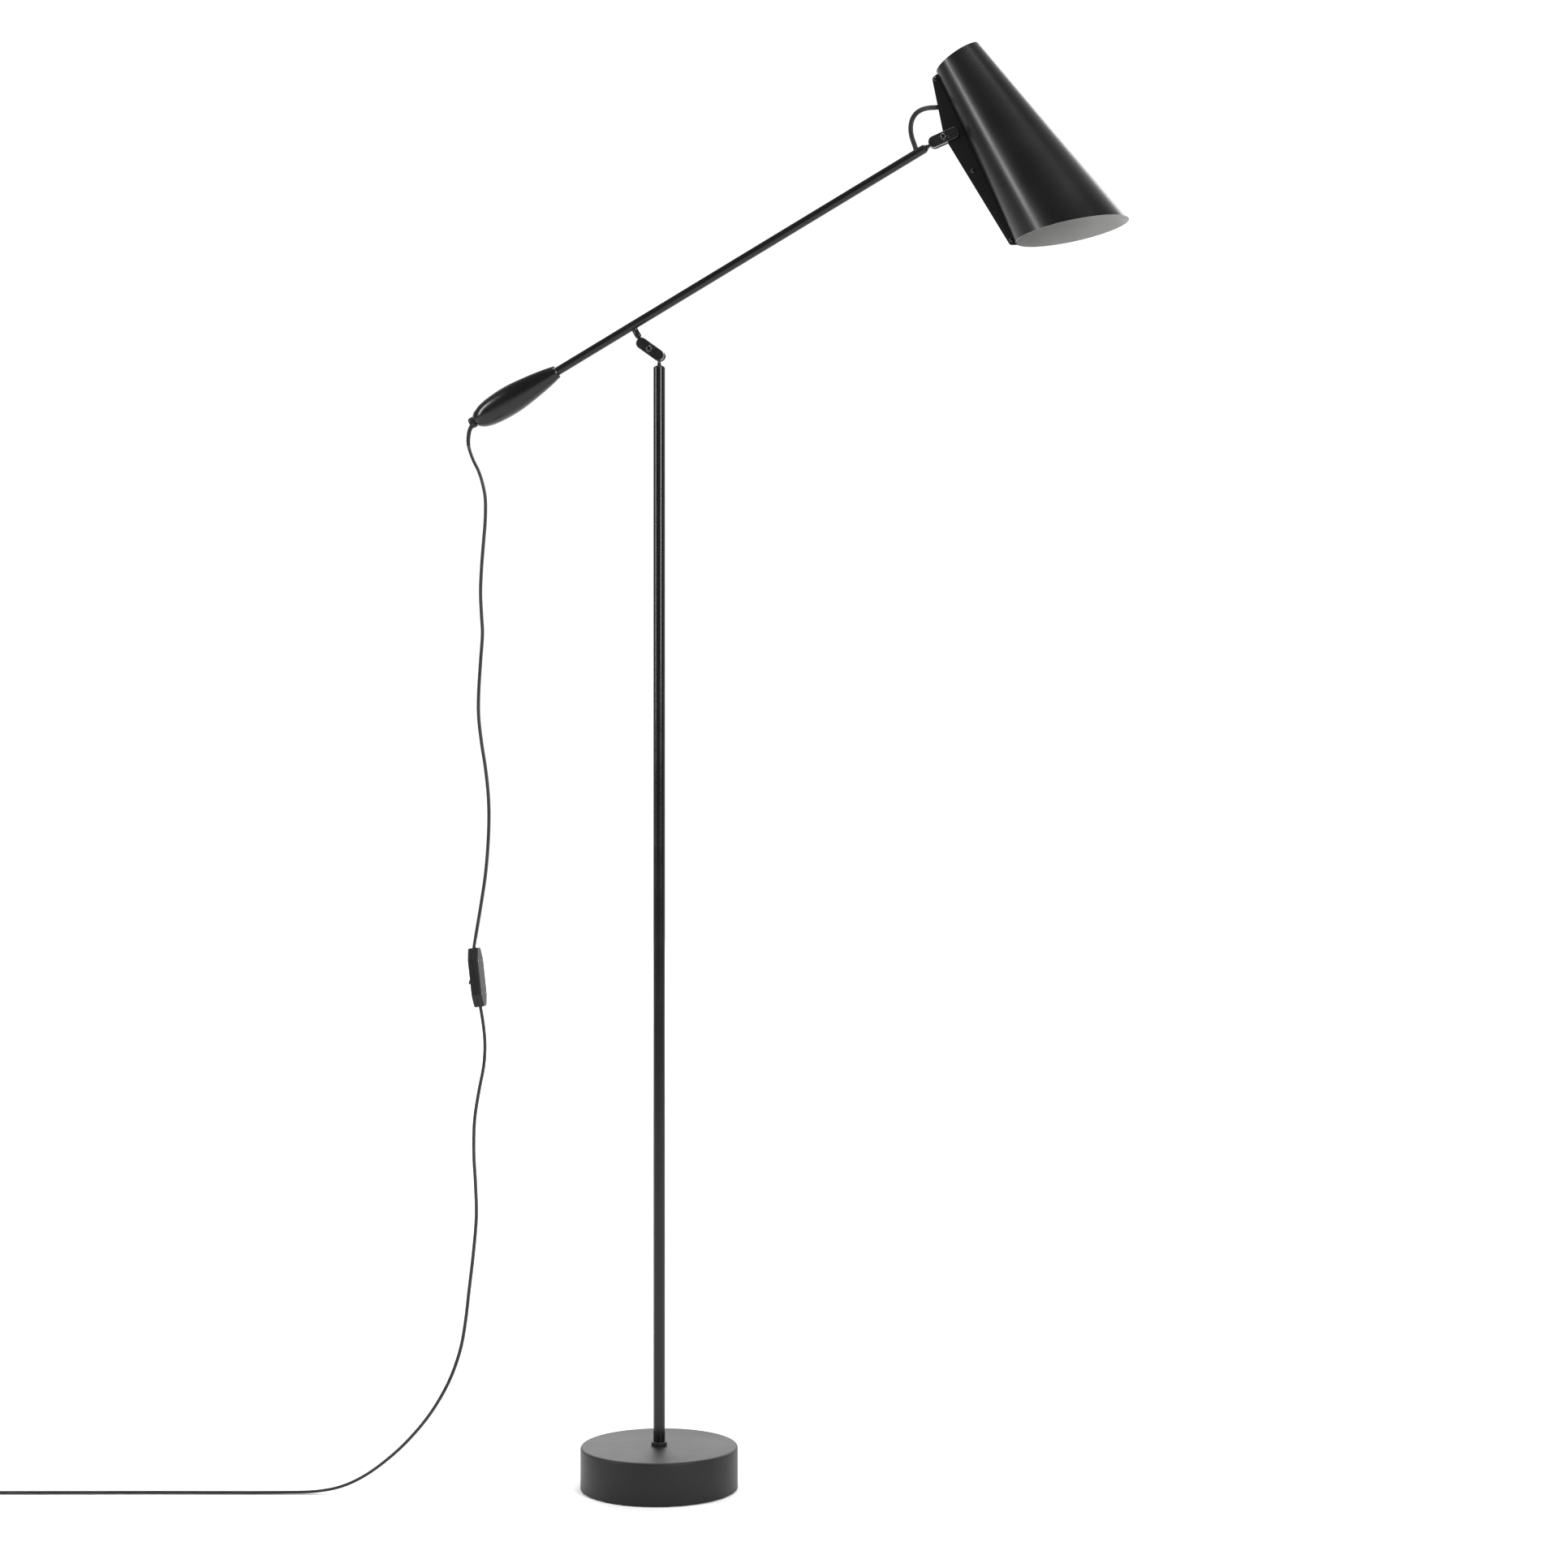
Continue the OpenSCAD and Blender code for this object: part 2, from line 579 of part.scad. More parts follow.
module fin_screws() {
    color("#242425") in_shade() for (h = fin_holes) translate([h.x, 0, h.y]) {
        rod_y(fin_screw_d / 2, -flange_out, flange_out + 2.2);
        intersection() {
            translate([0, -flange_out + 1.1, 0]) sphere(r = 2.7);
            rod_y(2.4, -flange_out - 2, -flange_out);
        }
    }
}

module fin_nuts() {
    color("#242425") in_shade() for (h = fin_holes) translate([h.x, flange_out, h.y]) difference() {
        rotate([-90, 0, 0]) cylinder(r = 2.6, h = 1.8, $fn = 6);
        rod_y(fin_screw_d / 2 + 0.01, -1, 3);
    }
}

module fin_spacer() {
    h = fin_holes[2];
    color("#8d8e90") in_shade() translate([h.x, 0, h.y]) difference() {
        rod_y(2.6, -flange_in, flange_in);
        rod_y(fin_screw_d / 2 + 0.05, -1, 1);
    }
}

// A tab between the flanges carries a round flag with the lamp holder's hole
module lamp_bracket() {
    h = fin_holes[0];
    color("#8d8e90") in_shade() difference() {
        union() {
            rotate([90, 0, 0]) linear_extrude(fin_gap, center = true)
                polygon([[9, 8], [cone_r(4) - 2, 3.6], [h.x + 1.8, 3.6], [h.x + 4, holder_z - 2], [9, holder_z - 2]]);
            translate([0, 0, holder_z - 2]) cylinder(r = 12, h = 1.6);
            translate([0, -4, holder_z - 2]) cube([cone_r(0) - 2.5, 8, 1.6]);
        }
        cylinder(r = 5.1, h = 30);
        translate([h.x, 0, h.y]) rod_y(fin_screw_d / 2 + 0.1, -9, 9);
    }
}

holder_r = 13;
holder_l = 44;

module lamp_holder() {
    color("#101011") in_shade() difference() {
        union() {
            translate([0, 0, holder_z - 0.4]) cylinder(r1 = holder_r - 3, r2 = holder_r, h = 6);
            translate([0, 0, holder_z + 5.6]) cylinder(r = holder_r, h = holder_l - 6);
            translate([0, 0, holder_z - 9]) cylinder(r = 5, h = 9);
        }
        translate([0, 0, holder_z + 18]) cylinder(r = 7.2, h = holder_l);
        translate([0, 0, holder_z - 10]) cylinder(r = 3, h = 14);
        translate([0, 0, holder_z + 34]) cylinder(r = 10.5, h = holder_l);
    }
}

module holder_nut() {
    color("#8d8e90") in_shade() translate([0, 0, holder_z - 2 - 2.5]) difference() {
        cylinder(r = 7.5, h = 2.5, $fn = 6);
        translate([0, 0, -1]) cylinder(r = 5.02, h = 5);
    }
}

glass_z = holder_z + 67;             // centre of the bulb
glass_r = 22.5;
glass_low = holder_z + 42.3;

module bulb_cap() {
    color("#b9b9b6") in_shade() union() {
        translate([0, 0, holder_z + 18.3]) cylinder(r1 = 3, r2 = 6.9, h = 3);
        translate([0, 0, holder_z + 21.3]) cylinder(r = 6.9, h = 21);
    }
}

module bulb_glass() {
    color("#f4f0e6") in_shade() difference() {
        union() {
            translate([0, 0, glass_low]) cylinder(r = 8.5, h = 8);
            translate([0, 0, glass_z]) sphere(r = glass_r);
        }
        translate([0, 0, glass_low + 1]) cylinder(r = 7.5, h = 8);
        translate([0, 0, glass_z]) sphere(r = glass_r - 1);
    }
}

module cord_grommet() {
    color("#101010") in_shade() translate([grommet_at.x, grommet_at.y, grommet_at.z]) difference() {
        union() {
            rod_x(3.25, -3.6, 0.8);
            rod_x(4, 0.6, 1.7);
            rod_x(4, -4.4, -3.3);
        }
        translate([-9, 0, 0]) rotate([90, 0, 90]) linear_extrude(18) rotate(90) twin_section(0.1);
    }
}

// Two sleeved wires from the grommet to the nipple of the lamp holder
module holder_wires() {
    color("#151515") in_shade() for (s = [-1, 1])
        translate([grommet_at.x - 14, grommet_at.y, grommet_at.z + s * 1.1]) rod_x(0.9, 0, 10);
}

// ---------- cords, switch and plug ----------

module head_cord() { color("#161616") flat_cord(head_route, [1, 0, 0]); }
module mains_cord_upper() { color("#161616") flat_cord(upper_route, [0, 1, 0]); }
module mains_cord_lower() { color("#161616") flat_cord(lower_route, [0, 1, 0]); }
module mains_cord_tail() { color("#161616") flat_cord(tail_route, [1, 0, 0]); }

module mains_cord_coil() {
    color("#161616") translate(coil_at) rotate_extrude()
        translate([coil_mean - 5.5, coil_low]) square([11, coil_high - coil_low]);
}

// A flat loop around the bundle of turns
module coil_tie() {
    w = 4;
    h = coil_high - coil_low;
    color("#0f0f0f") translate(coil_at) rotate(200) translate([coil_mean, 0, coil_low + h / 2]) difference() {
        cube([11 + 0.6 + 2 * tie_t, w, h + 2 * tie_t], center = true);
        cube([11 + 0.6, w + 1, h + 0.02], center = true);
    }
}

// The outline of the switch seen on its face, across Y and along Z
module switch_outline(inset = 0) {
    l = switch_l / 2 - inset;
    w = switch_w / 2 - inset;
    neck = 5.5 - inset;
    polygon(rounded([[-neck, -l], [neck, -l], [w, -l + 12], [w, l - 12], [neck, l], [-neck, l],
                     [-w, l - 12], [-w, -l + 12]], [2, 2, 8, 8, 2, 2, 8, 8]));
}

module switch_block(inset, from, to) {
    translate([from, 0, 0]) rotate([90, 0, 90]) linear_extrude(to - from) switch_outline(inset);
}

module cord_channel() { translate([0, 0, -switch_l]) rotate(90) linear_extrude(2 * switch_l) twin_section(0.1); }

window_h = 15;
window_w = 10;
half_t = switch_t / 2;

module switch_front_shell() {
    color("#1a1a1b") in_switch() difference() {
        union() {
            difference() {
                switch_block(0, -half_t, 0);
                switch_block(1.6, -half_t + 1.6, 1);
                translate([-half_t - 1, -window_w / 2, -window_h / 2]) cube([4, window_w, window_h]);
            }
            for (s = [-1, 1]) translate([-half_t + 1.2, s * (window_w / 2 + 1.4) - 1, -2.6]) cube([3.4, 2, 5.2]);
        }
        translate([rocker_pivot, 0, 0]) rod_y(1.25, -window_w, window_w);
        cord_channel();
        for (y = [-1, 1], z = [-1, 1]) translate([0, y * 6.4, z * 17]) rod_x(0.9, -half_t + 2, half_t);
    }
}

module switch_back_shell() {
    color("#1a1a1b") in_switch() difference() {
        union() {
            difference() {
                switch_block(0, 0, half_t);
                switch_block(1.6, -1, half_t - 1.6);
            }
            for (y = [-1, 1], z = [-1, 1]) translate([0, y * 6.4, z * 17]) rod_x(2, 0.1, half_t - 1);
        }
        cord_channel();
        for (y = [-1, 1], z = [-1, 1]) translate([0, y * 6.4, z * 17]) {
            rod_x(0.95, -1, half_t + 1);
            rod_x(1.9, half_t - 1.6, half_t + 1);
        }
    }
}

module switch_screws() {
    color("#7f8082") in_switch() for (y = [-1, 1], z = [-1, 1]) translate([0, y * 6.4, z * 17]) {
        rod_x(0.85, 0.3, half_t - 1.6);
        rod_x(1.8, half_t - 1.6, half_t - 0.3);
    }
}

// The rocker stands a little proud of the front shell and turns on a pin
module switch_rocker() {
    w = window_w - 0.6;
    h = window_h - 1.4;
    color("#242425") in_switch() union() {
        rotate([90, 0, 0]) linear_extrude(w, center = true)
            polygon([[-half_t - 2.4, -h / 2 + 0.6], [-half_t - 0.9, 0], [-half_t - 1.4, h / 2 - 0.6],
                     [-half_t + 0.4, h / 2 - 0.9], [rocker_pivot, 2.2], [rocker_pivot + 1.2, 0],
                     [rocker_pivot, -2.2], [-half_t + 0.4, -h / 2 + 0.9]]);
        translate([rocker_pivot, 0, 0]) rod_y(1.2, -window_w / 2 - 2.2, window_w / 2 + 2.2);
    }
}

module in_plug() { translate(plug_at) rotate([0, 0, plug_turn]) children(); }

// The plug lies flat beside the coil, along Y from its strain relief to its face
module plug_body() {
    relief = 22;
    body = 34;
    color("#151515") in_plug() union() {
        difference() {
            rotate([-90, 0, 0]) cylinder(r1 = 3.4, r2 = 5.6, h = relief + 1);
            translate([0, -1, 0]) rotate([-90, 0, 0]) linear_extrude(2) twin_section(0.1);
        }
        translate([0, 0, -6.7]) linear_extrude(13.4) polygon(rounded(
            [[-6, relief], [6, relief], [17, relief + 20], [17, relief + body], [-17, relief + body], [-17, relief + 20]],
            [2, 2, 8, 2, 2, 8]));
    }
}

module plug_pins() {
    color("#c4c5c6") in_plug() for (s = [-1, 1]) translate([s * 9.3, 56, 0]) rotate([-90, 0, 0]) union() {
        cylinder(r = 2, h = 17);
        translate([0, 0, 17]) cylinder(r1 = 2, r2 = 1, h = 2);
    }
}

base_cover();
base_weight();
base_felt();
foot_rod();
foot_washer();
foot_nut();
post_collar();
post_foot_insert();
post_tube();
post_cap();
post_ball_stud();
lower_clamp_front_plate();
lower_clamp_rear_plate();
lower_clamp_washer();
lower_clamp_screw();
arm_ball_stud();
arm_boss();
arm_insert();
arm_tube();
arm_cord();
arm_tip_insert();
counterweight();
counterweight_grub_screw();
cord_gland();
tip_ball_stud();
upper_clamp_front_plate();
upper_clamp_rear_plate();
upper_clamp_washer();
upper_clamp_screw();
shade();
fin_ball_plate();
fin_screws();
fin_nuts();
fin_spacer();
lamp_bracket();
lamp_holder();
holder_nut();
bulb_cap();
bulb_glass();
cord_grommet();
holder_wires();
head_cord();
mains_cord_upper();
switch_front_shell();
switch_back_shell();
switch_rocker();
switch_screws();
mains_cord_lower();
mains_cord_coil();
coil_tie();
mains_cord_tail();
plug_body();
plug_pins();
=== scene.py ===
import json
import math
import bmesh
import bpy
from mathutils import Matrix, Vector


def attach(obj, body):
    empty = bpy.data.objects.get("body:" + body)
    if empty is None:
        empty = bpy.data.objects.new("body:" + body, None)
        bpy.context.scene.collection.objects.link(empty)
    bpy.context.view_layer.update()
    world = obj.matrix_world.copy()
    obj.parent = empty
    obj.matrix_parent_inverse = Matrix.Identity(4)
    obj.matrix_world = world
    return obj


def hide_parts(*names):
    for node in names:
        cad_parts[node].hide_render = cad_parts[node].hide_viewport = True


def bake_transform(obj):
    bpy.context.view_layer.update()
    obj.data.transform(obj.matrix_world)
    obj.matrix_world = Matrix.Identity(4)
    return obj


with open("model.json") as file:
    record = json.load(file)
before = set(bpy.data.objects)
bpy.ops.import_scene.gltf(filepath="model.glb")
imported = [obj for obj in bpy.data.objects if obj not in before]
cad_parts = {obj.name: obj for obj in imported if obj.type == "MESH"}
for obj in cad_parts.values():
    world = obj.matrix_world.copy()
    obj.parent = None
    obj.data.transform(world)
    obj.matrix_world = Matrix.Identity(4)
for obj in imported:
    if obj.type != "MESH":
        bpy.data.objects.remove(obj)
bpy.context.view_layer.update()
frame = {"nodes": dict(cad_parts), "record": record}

# ---------- viewpoint ----------
# A level camera with a long lens, a little to the right of the plane of the arm and at half of
# the lamp's height, so that the post and the arm are seen nearly square on.
camera_data = bpy.data.cameras.new("camera")
camera_data.sensor_width = 36
camera_data.lens = 66.3
camera_data.clip_start = 0.05
camera_data.clip_end = 40
camera = bpy.data.objects.new("camera", camera_data)
camera.location = (0.685, -2.859, 0.716)
camera.rotation_euler = (math.radians(90), 0, math.radians(11))
bpy.context.scene.collection.objects.link(camera)
bpy.context.scene.camera = camera

# ---------- mains cord: sheath and its routes ----------
# A flat twin cord, 5 mm by 3 mm, of two cores moulded side by side in soft black plastic. It hangs
# from the gland behind the counterweight to the hand switch, falls in a lazy bow to the floor,
# and its spare length lies in a small flat coil beside the plug.
mm = 0.001
core_radius = 1.5 * mm


class Signal:
    """An output socket of a material, on which arithmetic adds Math nodes."""

    def __init__(self, socket):
        self.socket = socket

    def maths(self, operation, first, second):
        tree = self.socket.id_data
        node = tree.nodes.new("ShaderNodeMath")
        node.operation = operation
        for entry, value in zip(node.inputs, (first, second)):
            if isinstance(value, Signal):
                tree.links.new(value.socket, entry)
            else:
                entry.default_value = value
        return Signal(node.outputs[0])

    def __add__(self, other):
        return self.maths("ADD", self, other)

    def __sub__(self, other):
        return self.maths("SUBTRACT", self, other)

    def __rsub__(self, other):
        return self.maths("SUBTRACT", other, self)

    def __mul__(self, other):
        return self.maths("MULTIPLY", self, other)

    __radd__ = __add__
    __rmul__ = __mul__


class Finish:
    """A material with one Principled shader, and a method that adds any other node."""

    def __init__(self, name, **sockets):
        self.material = bpy.data.materials.new(name)
        self.material.use_nodes = True
        self.tree = self.material.node_tree
        self.shader = self.tree.nodes["Principled BSDF"]
        self.place = self.node("ShaderNodeTexCoord", output="Object")
        self.give(**sockets)

    def give(self, **sockets):
        """Set or link the shader's sockets, with _ for the spaces in their names."""
        for name, value in sockets.items():
            self.feed(self.shader.inputs[name.replace("_", " ")], value)

    def feed(self, entry, value):
        if isinstance(value, Signal):
            self.tree.links.new(value.socket, entry)
        elif entry.type == "RGBA" and len(value) == 3:
            entry.default_value = (*value, 1)
        else:
            entry.default_value = value

    def node(self, kind, settings=None, inputs=None, output=0):
        node = self.tree.nodes.new(kind)
        for name, value in (settings or {}).items():
            if name == "stops":
                ramp = node.color_ramp.elements
                while len(ramp) < len(value):
                    ramp.new(0.5)
                for element, (at, level) in zip(ramp, value):
                    element.position = at
                    element.color = (level, level, level, 1)
            else:
                setattr(node, name, value)
        for name, value in (inputs or {}).items():
            self.feed(node.inputs[name], value)
        return Signal(node.outputs[output])

    def noise(self, scale, detail=2, roughness=0.5, place=None):
        return self.node("ShaderNodeTexNoise", inputs={
            "Vector": place or self.place, "Scale": scale, "Detail": detail, "Roughness": roughness})

    def ramp(self, value, *stops):
        return self.node("ShaderNodeValToRGB", {"stops": stops}, {"Fac": value})

    def tint(self, mask, first, second):
        """The first colour where the mask is 0 and the second where it is 1."""
        return self.node("ShaderNodeMix", {"data_type": "RGBA"}, {0: mask, 6: first, 7: second}, output=2)

    def stretched(self, x, y, z):
        return self.node("ShaderNodeMapping", inputs={"Vector": self.place, "Scale": (x, y, z)})

    def bumped(self, height, depth, strength=1.0):
        """Bump whose height runs from 0 to 1 over a depth in metres."""
        self.give(Normal=self.node("ShaderNodeBump", inputs={
            "Height": height, "Distance": depth, "Strength": strength}, output="Normal"))


sheath = Finish("flexible_cord_sheath", Roughness=0.42, Specular_IOR_Level=0.42)
rubbed = sheath.ramp(sheath.noise(55, 3), (0.42, 0), (0.7, 1))
sheath.give(Base_Color=sheath.tint(rubbed, (0.006, 0.006, 0.0062), (0.014, 0.0138, 0.0135)),
            Roughness=0.36 + 0.16 * rubbed)
sheath.bumped(sheath.noise(900, 2) * 0.6 + sheath.noise(160, 1) * 0.4, 0.00006)

upper_route = [(-199.5, 0, 1083), (-201, 0, 1079.5), (-202, 0, 1073), (-202, 0, 1066), (-200, 0, 1058),
    (-196, 0, 1048), (-191, 0, 1038), (-187, 0, 1026), (-184, 0, 1010), (-184, 0, 988), (-186, 0, 963),
    (-188, 0, 938), (-189, 0, 913), (-188, 0, 890), (-187, 0, 870), (-189, 0, 842), (-191, 0, 810),
    (-191, 0, 785), (-188, 0, 759), (-184, 0, 734), (-181, 0, 708), (-180, 0, 683), (-181, 0, 654),
    (-184, 0, 621), (-190, 0, 583), (-196, 0, 548), (-195.4, 0, 543)]
lower_route = [(-189.7, 0, 491.5), (-189, 0, 486), (-186, 0, 468), (-184, -1, 448), (-185, -2, 426), (-189, -6, 400),
    (-192, -11, 371), (-191, -17, 339), (-187, -24, 307), (-184, -31, 275), (-185, -38, 239),
    (-187, -46, 203), (-189, -53, 170), (-193, -59, 142), (-203, -65, 112), (-220, -69, 82),
    (-241, -73, 56), (-262, -77, 36), (-285, -81, 19), (-308, -86, 8), (-333, -91, 3),
    (-365, -97, 2), (-420, -108, 1.9), (-485, -120, 1.9), (-550, -133, 1.9), (-610, -145, 1.9),
    (-674, -157, 1.9)]
tail_route = [(-734.8, -114.5, 8.4), (-736.3, -106.5, 7.8), (-738, -98, 7.2), (-739.6, -90.1, 7)]

# The coil: six turns in two columns and three layers, wound clockwise. Each turn keeps its own
# place for most of a round and then slides over to the next one.
coil_centre = Vector((-700, -130, 0))
coil_places = [(31.7, 2.4), (26.3, 2.4), (26.3, 5.6), (31.7, 5.6), (26.3, 8.8), (31.7, 8.8)]
coil_start, coil_travel = -79, 1901
coil_route = []
for step in range(1, 80):
    travelled = coil_travel * step / 80
    turn, part = divmod(travelled / (coil_travel / 6), 1)
    here = coil_places[int(turn)]
    after = coil_places[min(int(turn) + 1, 5)]
    slide = 0 if part < 0.87 else 0.5 - 0.5 * math.cos(math.pi * (part - 0.87) / 0.13)
    radius = here[0] + (after[0] - here[0]) * slide
    height = here[1] + (after[1] - here[1]) * slide
    angle = math.radians(coil_start - travelled)
    coil_route.append(coil_centre + Vector((radius * math.cos(angle), radius * math.sin(angle), height)))


def eased(route, pieces=5):
    """The route in metres as a smooth curve, with each of its spans cut into pieces."""
    points = [Vector(p) * mm for p in route]
    points = [2 * points[0] - points[1], *points, 2 * points[-1] - points[-2]]
    curve = []
    for before, a, b, beyond in zip(points, points[1:], points[2:], points[3:]):
        for step in range(pieces):
            t = step / pieces
            curve.append(0.5 * (2 * a + (b - before) * t + (2 * before - 5 * a + 4 * b - beyond) * t ** 2
                                + (3 * a - before - 3 * b + beyond) * t ** 3))
    return curve + [points[-2]]


def run_length(curve):
    return sum((b - a).length for a, b in zip(curve, curve[1:]))


def stations(curve, wide):
    """A frame at each point of a curve: X across the cord's width, Z along it."""
    frames = []
    for number, point in enumerate(curve):
        along = (curve[min(number + 1, len(curve) - 1)] - curve[max(number - 1, 0)]).normalized()
        wide = (wide - wide.dot(along) * along).normalized()
        turned = Matrix((wide, along.cross(wide), along)).transposed().to_4x4()
        frames.append(Matrix.Translation(point) @ turned)
    return frames


def swept(section, frames, grow=None):
    """A closed tube: the section's ring extruded from frame to frame, scaled by grow at each."""
    grow = grow or [1] * len(frames)
    frames = [f @ Matrix.Scale(g, 4) for f, g in zip(frames, grow)]
    bm = bmesh.new()
    ring = [bm.verts.new(frames[0] @ Vector((x, y, 0))) for x, y in section]
    edges = [bm.edges.new((a, b)) for a, b in zip(ring, ring[1:] + ring[:1])]
    bm.faces.new(ring)
    for last, frame_now in zip(frames, frames[1:]):
        made = bmesh.ops.extrude_edge_only(bm, edges=edges)["geom"]
        ring = [part for part in made if isinstance(part, bmesh.types.BMVert)]
        fresh = set(ring)
        edges = [part for part in made if isinstance(part, bmesh.types.BMEdge) and set(part.verts) <= fresh]
        bmesh.ops.transform(bm, matrix=frame_now @ last.inverted(), verts=ring)
    bmesh.ops.contextual_create(bm, geom=edges)
    return bm


def piece(name, bm, finish, body=None, replaces=(), at=None, sharp=35):
    """Turn a bmesh into an object of the scene that rides on a body. at takes it to its place."""
    if at:
        bmesh.ops.transform(bm, matrix=at, verts=bm.verts)
    bmesh.ops.recalc_face_normals(bm, faces=bm.faces)
    mesh = bpy.data.meshes.new(name)
    bm.to_mesh(mesh)
    bm.free()
    mesh.shade_smooth()
    mesh.set_sharp_from_angle(angle=math.radians(sharp))
    made = bpy.data.objects.new(name, mesh)
    bpy.context.scene.collection.objects.link(made)
    for one in finish if isinstance(finish, (list, tuple)) else [finish]:
        mesh.materials.append(one.material)
    if body:
        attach(made, body)
    if replaces:
        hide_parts(*replaces)
    return made


twin_section = []
for side in (1, -1):
    for number in range(11):
        angle = math.radians(-128 + 256 * number / 10)
        twin_section.append((side * (core_radius * math.cos(angle) + mm), side * core_radius * math.sin(angle)))

upper_curve = eased(upper_route, 6)
cuts = [0, 48, 96, len(upper_curve) - 1]
upper_frames = stations(upper_curve, Vector((0, 1, 0)))
for number, (first, last) in enumerate(zip(cuts, cuts[1:])):
    run = upper_curve[first:last + 1]
    cord = piece(f"mains_cord_upper_{number + 1}", swept(twin_section, upper_frames[first:last + 1]), sheath,
                 replaces=["mains_cord_upper"] if number == 0 else ())
    run_length(run)
    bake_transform(cord)

lower_curve = eased(lower_route + coil_route + tail_route, 4)
lower_cord = piece("mains_cord_lower_run", swept(twin_section, stations(lower_curve, Vector((0, 1, 0)))), sheath,
                   "post_stud", ["mains_cord_lower", "mains_cord_coil", "mains_cord_tail"])

# ---------- head cord ----------
# The same twin cord runs inside the arm, comes up through the slot near its tip, stands in a small
# loop and goes through a grommet into the shade behind the fin.
head_route = [(255.5, 0, 1343.4), (261, 0, 1346.6), (263.4, 0, 1349.8), (262, 0, 1355.5), (259.6, 0, 1362.5),
    (258.3, 0, 1371), (259.5, 0, 1379.5), (263.5, 0, 1386), (269.5, 0.6, 1390), (276.5, 1.8, 1391.8),
    (283.5, 3.2, 1392.2), (289.5, 4.7, 1393), (295, 5.6, 1395.3), (301.5, 5.8, 1399.5), (304.5, 5.8, 1408)]
head_curve = eased(head_route, 6)
head_frames = stations(head_curve, Vector((1, 0, 0)))
for number, (first, last) in enumerate(((0, 30), (30, 54), (54, len(head_curve) - 1))):
    run = head_curve[first:last + 1]
    cord = piece(f"head_cord_{number + 1}", swept(twin_section, head_frames[first:last + 1]), sheath,
                 replaces=["head_cord"] if number == 0 else ())
    run_length(run)
    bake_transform(cord)

# ---------- floor and light ----------
# A plain pale floor and soft studio light: a softbox on each side, one above, one behind, and a pale
# surround, bright behind the lamp and dimmer in front, which keeps the black lacquer dark.
ground = bmesh.new()
bmesh.ops.create_grid(ground, x_segments=2, y_segments=2, size=10)
floor_finish = Finish("pale_studio_floor", Roughness=0.9)
floor_finish.give(Base_Color=floor_finish.tint(floor_finish.noise(3, 2), (0.84, 0.84, 0.845), (0.86, 0.86, 0.86)))
floor = piece("studio_floor", ground, floor_finish)

surround = bpy.data.worlds.new("surround")
surround.use_nodes = True
sky = surround.node_tree.nodes
direction = sky.new("ShaderNodeSeparateXYZ")
backdrop = sky.new("ShaderNodeMapRange")
backdrop.interpolation_type = "SMOOTHSTEP"
for name, value in (("From Min", -0.1), ("From Max", 0.75), ("To Min", 0.28), ("To Max", 1.1)):
    backdrop.inputs[name].default_value = value
for source, target in ((sky.new("ShaderNodeTexCoord").outputs["Generated"], direction.inputs[0]),
                       (direction.outputs["Y"], backdrop.inputs["Value"]),
                       (backdrop.outputs[0], sky["Background"].inputs["Strength"])):
    surround.node_tree.links.new(source, target)
sky["Background"].inputs["Color"].default_value = (1, 1, 1, 1)
bpy.context.scene.world = surround
bpy.context.scene.view_settings.view_transform = "Standard"


def softbox(name, at, towards, width, height, power):
    light = bpy.data.lights.new(name, "AREA")
    light.shape = "RECTANGLE"
    light.size, light.size_y = width, height
    light.energy = power
    lamp = bpy.data.objects.new(name, light)
    lamp.location = at
    lamp.rotation_euler = (Vector(towards) - Vector(at)).to_track_quat("-Z", "Y").to_euler()
    bpy.context.scene.collection.objects.link(lamp)


softbox("softbox_left", (-2.6, -1.6, 1.9), (0, 0, 0.9), 0.5, 2.2, 60)
softbox("softbox_right", (2.5, -2.3, 1.9), (0.2, 0, 1.0), 0.8, 2.0, 85)
softbox("softbox_above", (0.2, -0.4, 3.4), (0, 0, 0.6), 1.6, 1.6, 52)
softbox("softbox_behind", (0.2, 7, 4.2), (0.2, 6.8, 0), 14, 7, 950)

# ---------- base ----------
# A spun steel cover, 160 mm across, powder coated in satin charcoal, stands over a cast iron
# weight. The felt under the weight also closes the hole of the nut that pulls the post down.
joint_at = {joint["name"]: Vector(joint["pos_m"]) for joint in frame["record"]["behaviour"]["joints"]}
in_row = Matrix.Scale(mm, 4)


def lathe(outline, steps=64):
    """An outline of (radius, height) in mm, spun about Z. It is closed unless it starts on the axis."""
    bm = bmesh.new()
    line = [bm.verts.new((r, 0, z)) for r, z in outline]
    following = line[1:] + (line[:1] if outline[0][0] > 0 else [])
    edges = [bm.edges.new(pair) for pair in zip(line, following)]
    bmesh.ops.spin(bm, geom=line + edges, cent=(0, 0, 0), axis=(0, 0, 1), dvec=(0, 0, 0),
                   angle=math.tau, steps=steps, use_merge=True, use_duplicate=False)
    bmesh.ops.remove_doubles(bm, verts=bm.verts, dist=0.0005)
    bmesh.ops.recalc_face_normals(bm, faces=bm.faces)
    return bm


def soften(bm, offset, segments=3, angle=30, where=lambda middle: True):
    """Round the edges that are sharper than an angle and lie where it is asked."""
    bmesh.ops.recalc_face_normals(bm, faces=bm.faces)
    edges = [edge for edge in bm.edges if len(edge.link_faces) == 2
             and edge.calc_face_angle(0) > math.radians(angle)
             and where((edge.verts[0].co + edge.verts[1].co) / 2)]
    bmesh.ops.bevel(bm, geom=edges, offset=offset, offset_type="OFFSET", segments=segments, profile=0.5,
                    affect="EDGES", material=-1)
    return bm


def dress(finish, *nodes):
    """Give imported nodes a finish."""
    for name in nodes:
        node = frame["nodes"][name]
        if not node.material_slots:
            node.data.materials.append(finish.material)
        for entry in node.material_slots:
            entry.material = finish.material


